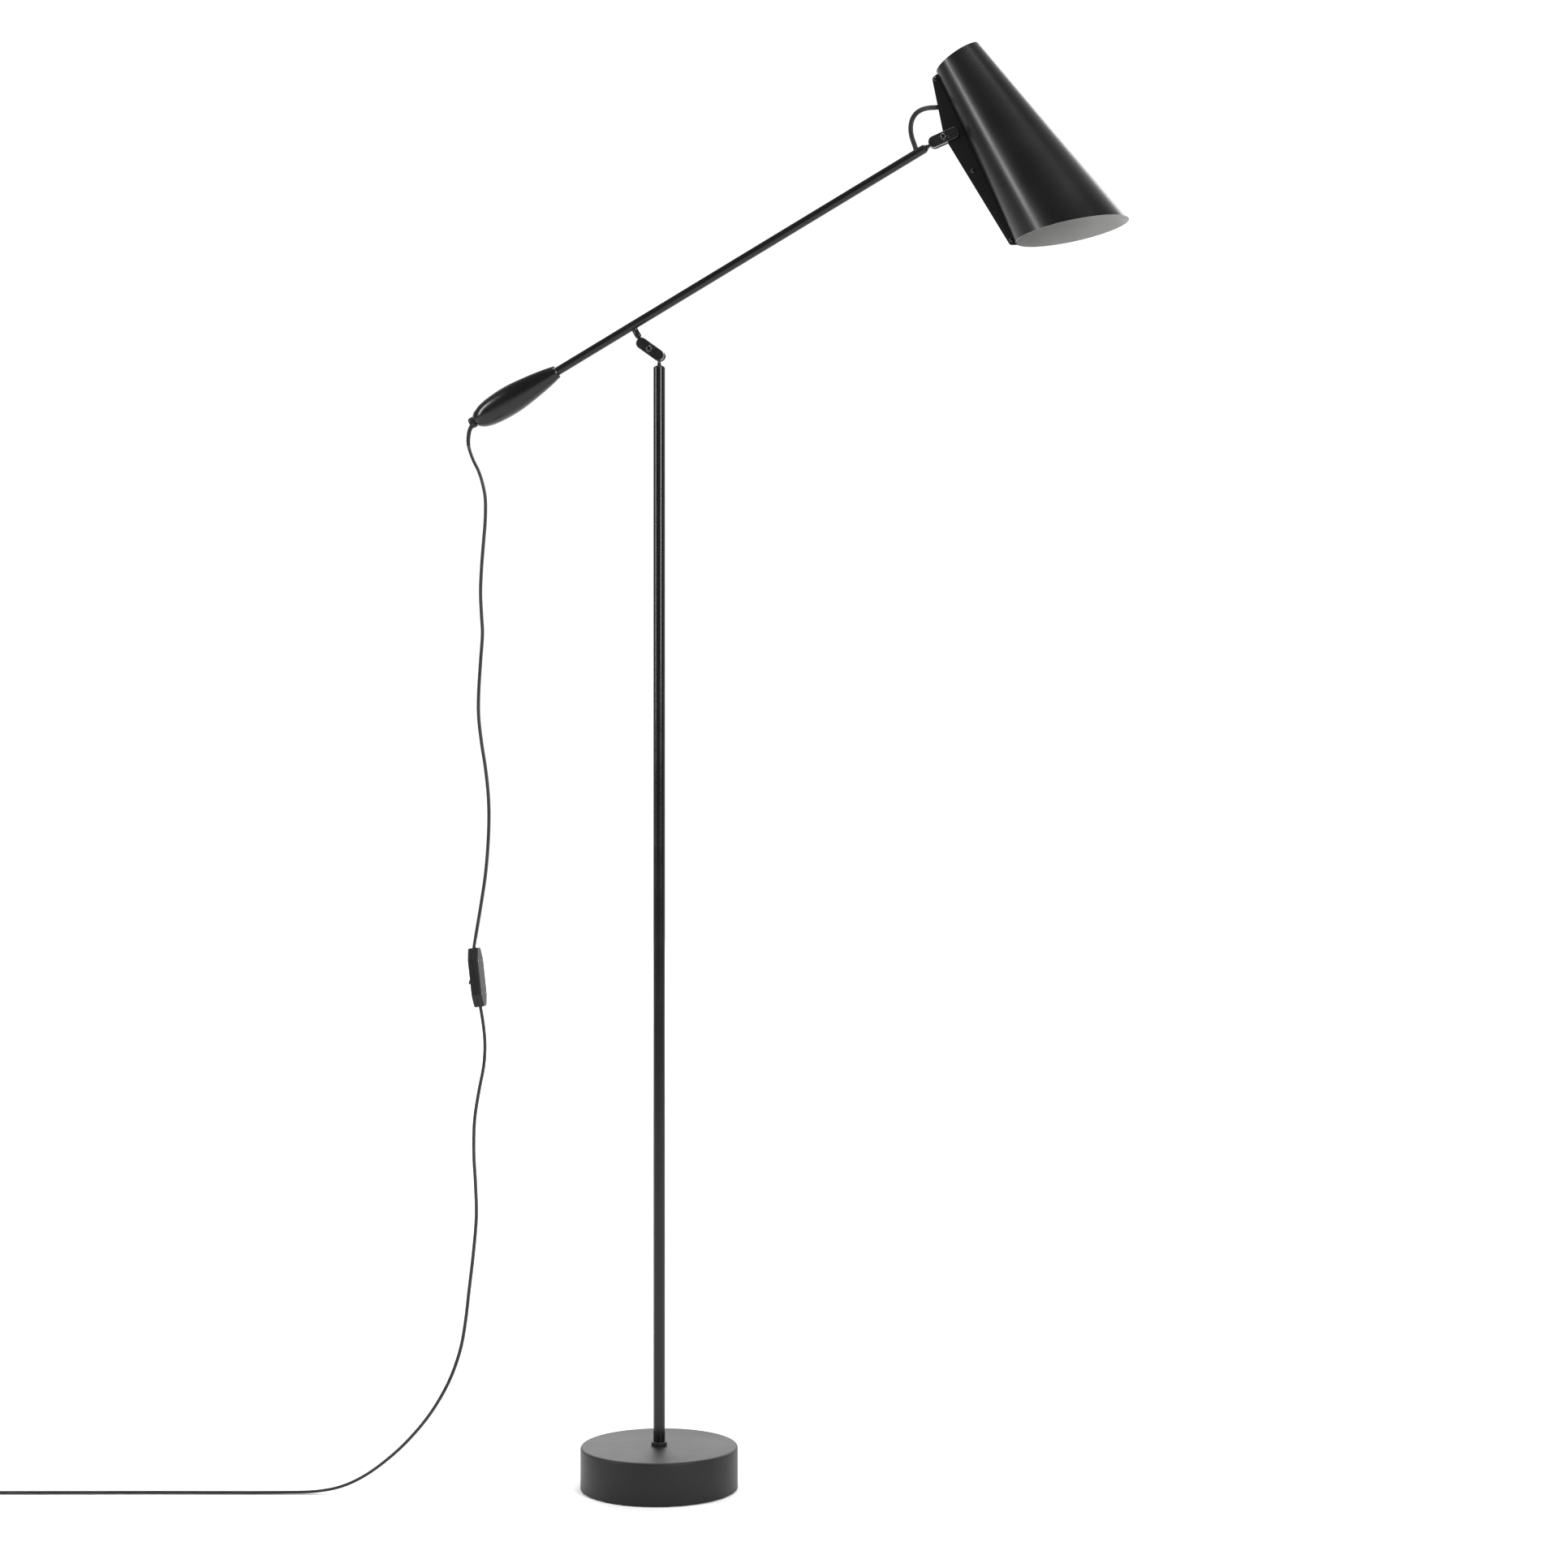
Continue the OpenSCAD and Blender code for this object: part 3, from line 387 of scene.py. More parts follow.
powder_coat = Finish("charcoal_powder_coat", Specular_IOR_Level=0.3)
clouding = powder_coat.ramp(powder_coat.noise(11, 4), (0.35, 0), (0.7, 1))
powder_coat.give(Base_Color=powder_coat.tint(clouding, (0.005, 0.005, 0.0052), (0.0068, 0.0068, 0.007)),
                 Roughness=0.4 + 0.08 * clouding + 0.08 * powder_coat.noise(700, 2))
powder_coat.bumped(powder_coat.noise(1300, 3, 0.6) + 0.6 * powder_coat.noise(260, 2), 0.00003, 0.6)

cover = lathe([(4.3, 43.5), (80, 43.5), (80, 1), (78.5, 1), (78.5, 42), (4.3, 42)], 192)
soften(cover, 2.6, 7, where=lambda middle: middle.z > 43 and middle.xy.length > 79)
soften(cover, 0.35, 2, where=lambda middle: middle.z < 1.5)
piece("base_spun_cover", cover, powder_coat, "root", ["base_cover"], at=in_row)

raw_iron = Finish("as_cast_iron", Metallic=0.6, Roughness=0.7)
raw_iron.give(Base_Color=raw_iron.tint(raw_iron.noise(40, 4), (0.05, 0.048, 0.046), (0.11, 0.1, 0.09)))
raw_iron.bumped(raw_iron.noise(420, 4, 0.7), 0.0005)
dress(raw_iron, "base_weight")

pressed_felt = Finish("pressed_felt", Roughness=0.95, Specular_IOR_Level=0.1)
fibres = pressed_felt.noise(1, 3, 0.7, pressed_felt.stretched(2600, 900, 900))
pressed_felt.give(Base_Color=pressed_felt.tint(fibres, (0.008, 0.008, 0.008), (0.035, 0.035, 0.035)))
pressed_felt.bumped(fibres + pressed_felt.noise(1800, 3), 0.0004)
dress(pressed_felt, "base_felt")

zinc = Finish("bright_zinc_plate", Metallic=1.0)
spangle = zinc.noise(500, 3)
zinc.give(Base_Color=zinc.tint(spangle, (0.48, 0.48, 0.47), (0.62, 0.62, 0.6)), Roughness=0.26 + 0.16 * spangle)
zinc.bumped(zinc.noise(1, 2, 0.5, zinc.stretched(300, 300, 3000)), 0.00004)
dress(zinc, "foot_rod", "foot_washer", "foot_nut", "post_foot_insert", "arm_insert")

# ---------- post ----------
# A 12 mm steel tube in gloss black lacquer stands in a small turned collar. A turned cap closes its
# top with a rounded shoulder, and its bore lets the ball stud, and so the whole arm, turn.
lacquer = Finish("gloss_black_lacquer", Specular_IOR_Level=0.34, Coat_Weight=0.1, Coat_Roughness=0.06)
smear = lacquer.ramp(lacquer.noise(24, 3), (0.45, 0), (0.75, 1))
lacquer.give(Base_Color=lacquer.tint(smear, (0.0018, 0.0018, 0.0019), (0.003, 0.003, 0.003)),
             Roughness=0.2 + 0.1 * smear)
lacquer.bumped(lacquer.noise(90, 2), 0.000006)

collar = lathe([(4.3, 43.5), (8, 43.5), (8, 47.5), (4.3, 47.5)])
soften(collar, 0.8, 4, where=lambda middle: middle.z > 47 and middle.xy.length > 7)
piece("post_turned_collar", collar, powder_coat, "root", ["post_collar"], at=in_row)
piece("post_steel_tube", lathe([(5.2, 47.5), (6, 47.5), (6, 1138), (5.2, 1138)], 72), lacquer, "root",
      ["post_tube"], at=in_row)
cap = lathe([(0, 1122), (5.15, 1122), (5.15, 1138), (6, 1138), (6, 1141), (2.75, 1141), (2.75, 1127), (0, 1127)], 72)
soften(cap, 1.9, 7, where=lambda middle: middle.z > 1140.9 and middle.xy.length > 5.5)
piece("post_turned_cap", cap, lacquer, "root", ["post_cap"], at=in_row)


def ball(height, first, last, radius=5, steps=18):
    """The outline of a ball around a height on the axis, between two latitudes in degrees."""
    turned = [math.radians(first + (last - first) * step / steps) for step in range(steps + 1)]
    return [(max(radius * math.cos(a), 0), height + radius * math.sin(a)) for a in turned]


black_steel = Finish("black_coated_steel", Specular_IOR_Level=0.45, Coat_Weight=0.15, Coat_Roughness=0.08)
handled = black_steel.ramp(black_steel.noise(90, 3), (0.5, 0), (0.8, 1))
black_steel.give(Base_Color=black_steel.tint(handled, (0.004, 0.004, 0.004), (0.009, 0.009, 0.009)),
                 Roughness=0.2 + 0.14 * handled)
black_steel.bumped(black_steel.noise(1400, 2), 0.00001)

stud = lathe([(0, 1127.3), (2.7, 1127.3), (2.7, 1141.8), (1.8, 1143.3), *ball(1151.6, -68.9, 90)])
soften(stud, 0.25, 2, where=lambda middle: 1141 < middle.z < 1142)
piece("post_turning_stud", stud, black_steel, "post_stud", ["post_ball_stud"], at=in_row)

# ---------- double ball clamps ----------
# Two 3.6 mm steel plates grip a ball at each end between their seats, and one domed socket screw
# with a washer pulls them together. The rounded edges catch the light as a thin line.
ball_gap = 21.5


def placed(at, turn):
    """To a place in metres, from a frame in mm that is turned about Y by some degrees."""
    return Matrix.Translation(at) @ Matrix.Rotation(math.radians(turn), 4, "Y") @ Matrix.Scale(mm, 4)


def hoop(bm, x, radius, z, steps=48):
    made = bmesh.ops.create_circle(bm, cap_ends=False, radius=radius, segments=steps,
                                   matrix=Matrix.Translation((x, 0, z)) @ Matrix.Rotation(math.pi / steps, 4, "Z"))
    return list({edge for vert in made["verts"] for edge in vert.link_edges})


def raised(bm, edges, height, inward=0):
    """Draw a wall up from a loop, and pull its top in towards the nearer ball."""
    made = bmesh.ops.extrude_edge_only(bm, edges=edges)["geom"]
    fresh = {part for part in made if isinstance(part, bmesh.types.BMVert)}
    bmesh.ops.translate(bm, vec=(0, 0, height), verts=list(fresh))
    for vert in fresh if inward else ():
        centre = Vector((ball_gap if vert.co.x > ball_gap / 2 else 0, 0))
        vert.co.xy += (centre - vert.co.xy).normalized() * inward
    return [part for part in made if isinstance(part, bmesh.types.BMEdge) and set(part.verts) <= fresh]


def clamp_plate():
    bm = bmesh.new()
    rim = hoop(bm, 0, 5.79, 2.2, 96)
    for vert in {vert for edge in rim for vert in edge.verts if vert.co.x > 0}:
        vert.co.x += ball_gap
    seats = [hoop(bm, 0, 4.54, 2.2), hoop(bm, ball_gap, 4.54, 2.2)]
    bore = hoop(bm, ball_gap / 2, 2.05, 2.2)
    bmesh.ops.triangle_fill(bm, use_beauty=True, edges=rim + seats[0] + seats[1] + bore)
    for seat in seats:
        bmesh.ops.contextual_create(bm, geom=raised(bm, seat, 3))
    bore = raised(bm, bore, 3.6)
    rim = raised(bm, rim, 2.7)
    for step in range(5):
        low, high = math.radians(18 * step), math.radians(18 * step + 18)
        rim = raised(bm, rim, 0.9 * (math.sin(high) - math.sin(low)), 0.9 * (math.cos(low) - math.cos(high)))
    bmesh.ops.triangle_fill(bm, use_beauty=True, edges=rim + bore)
    return bm


def hexed(bm, across, inside):
    """Push the ring of points inside a radius out or in to a hexagon's sides."""
    for vert in bm.verts:
        if 0.3 < vert.co.xy.length < inside:
            turned = math.degrees(math.atan2(vert.co.y, vert.co.x)) % 60 - 30
            vert.co.xy = vert.co.xy.normalized() * across / 2 / math.cos(math.radians(turned))
    return bm


def weighted(made):
    """Let the large flat faces keep their own shading beside rounded edges."""
    made.modifiers.new("flat faces", "WEIGHTED_NORMAL").keep_sharp = True
    return made


def ball_clamp(name, at, body, screw_body):
    front, rear = Matrix.Rotation(math.radians(90), 4, "X"), Matrix.Rotation(math.radians(-90), 4, "X")
    middle = Matrix.Translation((ball_gap / 2, 0, 0))
    weighted(piece(f"{name}_front_cheek", clamp_plate(), black_steel, body,
                   [f"{name}_front_plate"], at=at @ front))
    weighted(piece(f"{name}_rear_cheek", clamp_plate(), black_steel, body,
                   [f"{name}_rear_plate"], at=at @ rear))
    washer = soften(lathe([(2.15, 5.8), (5.3, 5.8), (5.3, 6.8), (2.15, 6.8)], 48), 0.3, 3,
                    where=lambda middle: middle.z > 6.5)
    weighted(piece(f"{name}_plain_washer", washer, black_steel, body,
                   [f"{name}_washer"], at=at @ middle @ front))
    dome = [(3.9 * math.cos(math.radians(a)), 7.1 + 2.9 * math.sin(math.radians(a))) for a in range(0, 61, 10)]
    screw = lathe([(0, -5.8), (2, -5.8), (2, 6.8), (3.7, 6.8), *dome, (1.44, 9.75), (1.4, 8.1), (0, 8.1)], 48)
    weighted(piece(f"{name}_domed_screw", hexed(screw, 2.5, 1.6), black_steel, screw_body,
                   [f"{name}_screw"], at=at @ middle @ front))


ball_clamp("lower_clamp", placed(joint_at["lower_clamp_tilt"], -144), "lower_clamp", "lower_screw")
ball_clamp("upper_clamp", placed(joint_at["head_twist"], -21.8), "upper_clamp", "upper_screw")

# ---------- arm ----------
# A 9 mm tube in the same lacquer. A turned stud carries it on the lower clamp and turns in a boss
# that is brazed to its underside, and the cord comes out through a slot milled near its tip.
in_arm = placed(joint_at["arm_swing"], -29.2)
along_arm = in_arm @ Matrix.Rotation(math.radians(90), 4, "Y")
arm_front, arm_back, tip_ball = 346.5, -190.5, 355.5
slot_middle = arm_front - 10.5


def cut(bm, *cutters):
    """What is left of a solid once the cutters' space is taken out of it."""
    stock = []
    for part in (bm, *cutters):
        bmesh.ops.recalc_face_normals(part, faces=part.faces)
        mesh = bpy.data.meshes.new("stock")
        part.to_mesh(mesh)
        part.free()
        stock.append(bpy.data.objects.new("stock", mesh))
        bpy.context.scene.collection.objects.link(stock[-1])
    for cutter in stock[1:]:
        modifier = stock[0].modifiers.new("cut", "BOOLEAN")
        modifier.object, modifier.operation, modifier.solver = cutter, "DIFFERENCE", "EXACT"
    graph = bpy.context.evaluated_depsgraph_get()
    left = bmesh.new()
    left.from_mesh(stock[0].evaluated_get(graph).to_mesh())
    for part in stock:
        mesh = part.data
        bpy.data.objects.remove(part)
        bpy.data.meshes.remove(mesh)
    return left


def rod(radius, start, end, steps=48, across=None):
    """A plain rod along Z, or along the axis that across turns Z to, as a cutter or a blank."""
    bm = bmesh.new()
    bmesh.ops.create_cone(bm, cap_ends=True, segments=steps, radius1=radius, radius2=radius, depth=end - start,
                          matrix=(across or Matrix()) @ Matrix.Translation((0, 0, (start + end) / 2)))
    return bm


def slab(low, high):
    """A block between two corners."""
    bm = bmesh.new()
    size = Vector(high) - Vector(low)
    bmesh.ops.create_cube(bm, size=1, matrix=Matrix.Translation((Vector(low) + Vector(high)) / 2)
                          @ Matrix.Diagonal((*size, 1)))
    return bm


# the tube is turned about Z here, so the slot's upward side is -X and its length runs along Z
tube = lathe([(3.7, arm_back + 8.5), (4.5, arm_back + 8.5), (4.5, arm_front - 2.5), (3.7, arm_front - 2.5)], 64)
upward = Matrix.Rotation(math.radians(-90), 4, "Y")
tube = cut(tube, slab((-6, -2.2, slot_middle - 1.2), (-2.5, 2.2, slot_middle + 1.2)),
           rod(2.2, 2.5, 6, 32, Matrix.Translation((0, 0, slot_middle - 1.2)) @ upward),
           rod(2.2, 2.5, 6, 32, Matrix.Translation((0, 0, slot_middle + 1.2)) @ upward))
piece("arm_lacquered_tube", tube, lacquer, "arm", ["arm_tube"], at=along_arm)

tip = lathe([(2.05, 340), (3.65, 340), (3.65, 344), (4.45, 344), (2.9, 346.5), (2.05, 346.5)])
soften(tip, 0.3, 3, where=lambda middle: middle.z > 346)
piece("arm_tip_plug", tip, black_steel, "arm", ["arm_tip_insert"], at=along_arm)

boss = soften(lathe([(2.05, -6.3), (3.4, -6.3), (3.4, -3.9), (2.05, -3.9)]), 0.2, 2,
              where=lambda middle: middle.z < -6 and middle.xy.length > 3)
piece("arm_brazed_boss", boss, black_steel, "arm", ["arm_boss"], at=in_arm)

stud = lathe([*ball(-21.5, -90, 68.9), (1.8, -14.7), (3.4, -13), (3.4, -6.4), (2, -6.4), (2, -0.3), (0, -0.3)])
soften(stud, 0.3, 3, where=lambda middle: -14.8 < middle.z < -6 and middle.xy.length > 2.5)
piece("arm_turned_stud", stud, black_steel, "arm_stud", ["arm_ball_stud"], at=in_arm)

stud = lathe([(0, 340.5), (2, 340.5), (2, 346.8), (2.7, 346.8), (2.7, 347.8), (1.8, 348.2),
              *ball(tip_ball, -68.9, 90)])
piece("tip_turned_stud", stud, black_steel, "tip_stud", ["tip_ball_stud"], at=along_arm)

# ---------- counterweight and cord gland ----------
# A turned steel pear, 100 mm long, slides on the rear of the arm and is held by a grub screw. A
# rounded gland screws into its rear end, and a tapered sleeve keeps the cord from kinking there.
pear = [(0, 0.4), (0.02, 0.52), (0.05, 0.655), (0.1, 0.79), (0.16, 0.885), (0.24, 0.955), (0.34, 0.995),
        (0.42, 1), (0.5, 0.975), (0.6, 0.905), (0.7, 0.815), (0.8, 0.71), (0.9, 0.585), (0.99, 0.4426)]
side = [(point.x / mm, point.z / mm) for point in eased([(15.25 * r, 0, 100 * z) for z, r in pear], 5)]
weight = lathe([(4.1, 0), *side, (6, 100), (4.55, 100), (4.55, 8.5), (4.1, 8.5)], 128)
weight_at = in_arm @ Matrix.Translation((arm_back, 0, 0)) @ Matrix.Rotation(math.radians(90), 4, "Y")
piece("counterweight_pear", weight, lacquer, "arm", ["counterweight"], at=weight_at, sharp=28)

rounding = [(3.4 + 2.4 * math.cos(math.radians(a)), 4.4 + 2.4 * math.sin(math.radians(a))) for a in range(0, 91, 9)]
gland = lathe([(0, -8), (3.95, -8), (3.95, 0), (4.9, 0), (5.25, 0.9), (5.8, 1.4), *rounding, (0, 6.8)], 64)
gland_at = in_arm @ Matrix.Translation((arm_back, 0, 0)) @ Matrix.Rotation(math.radians(-90), 4, "Y")
moulded = Finish("moulded_black_plastic", Specular_IOR_Level=0.34)
moulded.give(Base_Color=moulded.tint(moulded.noise(60, 3), (0.003, 0.003, 0.003), (0.005, 0.005, 0.005)),
             Roughness=0.3 + 0.16 * moulded.noise(240, 2))
moulded.bumped(moulded.noise(1700, 3, 0.6), 0.000008)
piece("cord_gland_nut", gland, moulded, "arm", ["cord_gland"], at=gland_at)

rubber = Finish("matt_black_rubber", Specular_IOR_Level=0.3)
rubber.give(Base_Color=rubber.tint(rubber.noise(80, 3), (0.006, 0.006, 0.006), (0.011, 0.011, 0.011)),
            Roughness=0.5 + 0.2 * rubber.noise(500, 2))
rubber.bumped(rubber.noise(900, 3), 0.00004)
sleeve_curve = eased([(-196.4, 0, 1087), (-198.3, 0, 1084.8), (-199.6, 0, 1082.8), (-201, 0, 1079.5),
                      (-201.9, 0, 1074.5), (-202.2, 0, 1069.5), (-201.9, 0, 1064.5)], 8)
taper = []
for number in range(len(sleeve_curve)):
    share = number / (len(sleeve_curve) - 1)
    rib = 0.05 if number % 6 < 3 and share > 0.3 else 0
    taper.append(1.32 - 0.22 * share - rib)
piece("cord_gland_sleeve", swept(twin_section, stations(sleeve_curve, Vector((0, 1, 0))), taper), rubber, "arm",
      at=None)
grub = Finish("blackened_set_screw", Metallic=0.8, Roughness=0.45)
grub.give(Base_Color=grub.tint(grub.noise(800, 2), (0.03, 0.03, 0.03), (0.06, 0.06, 0.06)))
dress(grub, "counterweight_grub_screw")
dress(sheath, "arm_cord")

# ---------- shade ----------
# A cone rolled from 0.8 mm sheet: the two edges turn out into the flanges of the fin, and both
# rims are cut at a slant. It is black outside and sprayed with pale paint inside to throw the light; that paint is
# coloured here a mid grey, darker than it is, as painted shade inside the cone.
fin_ball = Vector((43.067, 0, 62))
in_shade = placed(joint_at["shade_tilt"], 148) @ Matrix.Translation(-fin_ball)
facing = Matrix.Rotation(math.radians(90), 4, "X")


def cone_radius(z):
    return 25.5 + math.tan(math.radians(7.5)) * z


def prism(points, low, high, rounding=()):
    """An outline in XY drawn up along Z, its corners rounded by their own distances first."""
    bm = bmesh.new()
    corners = [bm.verts.new((x, y, low)) for x, y in points]
    bm.faces.new(corners)
    for corner, distance in zip(corners, rounding):
        if distance:
            bmesh.ops.bevel(bm, geom=[corner], offset=distance, offset_type="OFFSET", segments=6, profile=0.5,
                            affect="VERTICES", material=-1)
    top = bmesh.ops.extrude_face_region(bm, geom=bm.faces[:])["geom"]
    bmesh.ops.translate(bm, vec=(0, 0, high - low), verts=[v for v in top if isinstance(v, bmesh.types.BMVert)])
    bmesh.ops.recalc_face_normals(bm, faces=bm.faces)
    return bm


def moved(bm, matrix):
    bmesh.ops.transform(bm, matrix=matrix, verts=bm.verts)
    return bm


def joined(*parts):
    """Several solids in one mesh."""
    whole = bmesh.new()
    for part in parts:
        bmesh.ops.recalc_face_normals(part, faces=part.faces)
        mesh = bpy.data.meshes.new("stock")
        part.to_mesh(mesh)
        part.free()
        whole.from_mesh(mesh)
        bpy.data.meshes.remove(mesh)
    return whole


cone = lathe([(cone_radius(-8) - 0.8, -8), (cone_radius(-8), -8), (cone_radius(238), 238),
              (cone_radius(238) - 0.8, 238)], 180)
slants = [((0, 0, 0), Matrix.Rotation(math.radians(-0.5), 3, "Y") @ Vector((0, 0, -1))),
          ((0, 0, 209), Matrix.Rotation(math.radians(21.25), 3, "Y") @ Vector((0, 0, 1)))]
for through, away in slants:
    rim = bmesh.ops.bisect_plane(cone, geom=cone.verts[:] + cone.edges[:] + cone.faces[:], plane_co=through,
                                 plane_no=away, clear_outer=True)["geom_cut"]
    rim = [edge for edge in rim if isinstance(edge, bmesh.types.BMEdge)]
    bmesh.ops.bridge_loops(cone, edges=rim)
grommet_at = Vector((cone_radius(32), 5.6, 32))
outward = Matrix.Rotation(math.radians(90), 4, "Y")
cone = cut(cone, slab((5, -0.6, -20), (95, 0.6, 260)),
           rod(3.3, -8, 8, 32, Matrix.Translation(grommet_at) @ outward))

fin_top, fin_apex = Vector((cone_radius(2.2) + 6.5, 2.2)), Vector((cone_radius(59) + 20.2, 59))
fin_low = Vector((cone_radius(187.3) + 5.8, 187.3))
fin_holes = [fin_top + Vector((-2.2, 3.2)), Vector((cone_radius(104) + 8.4, 104)), fin_low + Vector((-3.6, -3.4))]
room = [(r, a) for r, turns in ((8.3, range(-6, 7)), (15.75, range(6, -7, -1))) for a in turns]
room = [(fin_ball.x + r * math.cos(math.radians(37 * a / 6 - 10.2)),
         fin_ball.z + r * math.sin(math.radians(37 * a / 6 - 10.2))) for r, a in room]
flanges = []
fin_gap = 1.2
flange_thickness = 0.8
for low in (-fin_gap / 2 - flange_thickness, fin_gap / 2):
    flange = prism([(cone_radius(1.7) - 0.75, 1.7), fin_top, fin_apex, fin_low, (cone_radius(191.3) - 1.2, 191.3)],
                   low, low + flange_thickness, (0, 2.2, 0.8, 1.95, 0))
    soften(flange, 0.2, 2, 60)
    flange = cut(flange, rod(5.35, -9, 9, 48, Matrix.Translation((fin_ball.x, fin_ball.z, 0))),
                 *[rod(1.4, -9, 9, 24, Matrix.Translation((*hole, 0))) for hole in fin_holes],
                 prism(room, -9, 9))
    flanges.append(moved(flange, facing))
shell = joined(cone, *flanges)
for face in shell.faces:
    centre = face.calc_center_median()
    wall = centre.xy.length
    if wall < cone_radius(centre.z) - 0.35 and face.normal.xy.dot(centre.xy) < -0.7 * wall:
        face.material_index = 1

shade_lacquer = Finish("shade_black_lacquer", Specular_IOR_Level=0.32, Coat_Weight=0.08, Coat_Roughness=0.12)
haze = shade_lacquer.ramp(shade_lacquer.noise(14, 4), (0.4, 0), (0.75, 1))
shade_lacquer.give(Base_Color=shade_lacquer.tint(haze, (0.0018, 0.0018, 0.0019), (0.003, 0.003, 0.003)),
                   Roughness=0.27 + 0.07 * haze)
shade_lacquer.bumped(shade_lacquer.noise(420, 2) + 0.5 * shade_lacquer.noise(120, 2), 0.000003)
# The inside paint gets a mid grey, darker than the real pale paint: painted shade for the dim inside of the cone.
reflector_paint_and_painted_shade = Finish("reflector_paint_darkened_as_painted_shade", Specular_IOR_Level=0.5)
film = reflector_paint_and_painted_shade.noise(35, 4)
reflector_paint_and_painted_shade.give(Base_Color=reflector_paint_and_painted_shade.tint(film, (0.25, 0.25, 0.245), (0.3, 0.3, 0.295)), Roughness=0.3 + 0.15 * film)
reflector_paint_and_painted_shade.bumped(reflector_paint_and_painted_shade.noise(900, 2), 0.00002)
piece("shade_rolled_cone", shell, [shade_lacquer, reflector_paint_and_painted_shade], "head", ["shade"], at=in_shade,
      sharp=25)

# Three small domed screws with hexagon nuts close the fin. The middle one also holds the tongue of
# the fin's ball, the top one the lamp holder's bracket.
fasteners, nuts = [], []
for hole in fin_holes:
    dome = [(2.35 * math.cos(math.radians(a)), 1.55 + 1.4 * math.sin(math.radians(a))) for a in range(0, 61, 12)]
    screw = lathe([(0, -3.6), (1.3, -3.6), (1.3, 1.4), (2.3, 1.4), *dome, (0.85, 2.8), (0.8, 1.9), (0, 1.9)], 32)
    fasteners.append(moved(hexed(screw, 1.5, 0.95), facing @ Matrix.Translation((*hole, 0))))
    nut = soften(rod(2.6, -3.2, -1.4, 6), 0.2, 2)
    nuts.append(moved(nut, facing @ Matrix.Translation((*hole, 0))))
weighted(piece("fin_domed_screws", joined(*fasteners), black_steel, "head", ["fin_screws"],
               at=in_shade))
weighted(piece("fin_hexagon_nuts", joined(*nuts), black_steel, "head", ["fin_nuts"], at=in_shade))
dress(black_steel, "fin_ball_plate")
dress(zinc, "fin_spacer", "lamp_bracket", "holder_nut")

# ---------- lamp holder and bulb ----------
# A moulded holder on a threaded nipple, with a ribbed mouth, takes a small screw cap. The bulb is an
# opal globe. A rubber grommet lines the hole where the head cord comes in.
holder = lathe([(0, 20), (3, 20), (3, 7), (5, 7), (5, 15.6), (10, 15.6), (13, 21.6), (13, 46), (12.5, 46.5),
                (12.5, 48), (13, 48.5), (13, 50.5), (12.5, 51), (12.5, 52.5), (13, 53), (13, 59.6), (10.5, 59.6),
                (10.5, 50), (7.2, 50), (7.2, 34), (0, 34)], 64)
soften(holder, 0.3, 2, where=lambda middle: middle.xy.length > 9)
piece("lamp_holder_moulding", holder, moulded, "head", ["lamp_holder"], at=in_shade)

thread = [(6.55 + 0.35 * math.cos(math.radians(60 * step)), 39 + 0.6 * step) for step in range(25)]
cap_metal = Finish("rolled_cap_metal", Metallic=1.0)
cap_metal.give(Base_Color=cap_metal.tint(cap_metal.noise(300, 3), (0.58, 0.58, 0.56), (0.72, 0.72, 0.7)),
               Roughness=0.22 + 0.14 * cap_metal.noise(600, 2))
screw_cap = lathe([(0, 34.4), (3, 34.4), (3.2, 35), (5.4, 37), (6.2, 37.4), *thread,
                   (6.9, 54.5), (6.9, 58.2), (0, 58.2)])
piece("bulb_screw_cap", screw_cap, cap_metal, "head", ["bulb_cap"], at=in_shade, sharp=60)
opal = Finish("opal_glass", Roughness=0.14, Specular_IOR_Level=0.5, Coat_Weight=0.3)
opal.give(Base_Color=opal.tint(opal.noise(30, 2), (0.86, 0.85, 0.81), (0.9, 0.89, 0.86)))
opal.bumped(opal.noise(60, 1), 0.00003)
globe = lathe([(0, 58.4), (8.3, 58.4), (8.5, 59), (8.5, 60.6), (8.9, 61.9), (10, 63.1),
               *ball(83, -56.2, 90, 22.5, 40)], 96)
piece("bulb_opal_globe", globe, opal, "head", ["bulb_glass"], at=in_shade, sharp=50)

grommet = lathe([(2.7, -4.4), (4, -4.4), (4, -3.3), (3.25, -3.3), (3.25, 0.6), (4, 0.6), (4, 1.7), (2.7, 1.7)], 40)
soften(grommet, 0.3, 3, where=lambda middle: middle.xy.length > 3.8 or middle.z > 1.6)
piece("cord_grommet_ring", grommet, rubber, "head", ["cord_grommet"],
      at=in_shade @ Matrix.Translation(grommet_at) @ outward)
dress(rubber, "holder_wires")

# ---------- hand switch ----------
# Two moulded halves, 61 mm long, close over the cord and are held by four screws from behind. The
# rocker stands out of a window in the front half and turns on a pin.
in_switch = placed(Vector((-192.5, 0, 517)) * mm, -6.44)
edgeways = Matrix(((0, 0, 1), (1, 0, 0), (0, 1, 0))).to_4x4()
switch_outline = [(-5.5, -30.5), (5.5, -30.5), (10.5, -18.5), (10.5, 18.5), (5.5, 30.5), (-5.5, 30.5),
                  (-10.5, 18.5), (-10.5, -18.5)]
for name, low, high in (("front", -5.5, -0.06), ("back", 0.06, 5.5)):
    half = prism(switch_outline, low, high, (1.2, 1.2, 1.8, 1.8, 1.2, 1.2, 1.8, 1.8))
    soften(half, 1.5, 5, 60, lambda middle: abs(middle.z) > 5.4)
    soften(half, 0.25, 2, 60, lambda middle: abs(middle.z) < 0.1)
    if name == "front":
        half = cut(half, slab((-5, -7.5, -7), (5, 7.5, -1.6)))
    else:
        half = cut(half, *[rod(1.9, 3.9, 7, 24, Matrix.Translation((x, y, 0)))
                           for x in (-6.4, 6.4) for y in (-17, 17)])
    weighted(piece(f"switch_{name}_half", half, moulded, "post_stud",
                                 [f"switch_{name}_shell"], at=in_switch @ edgeways))
screws = []
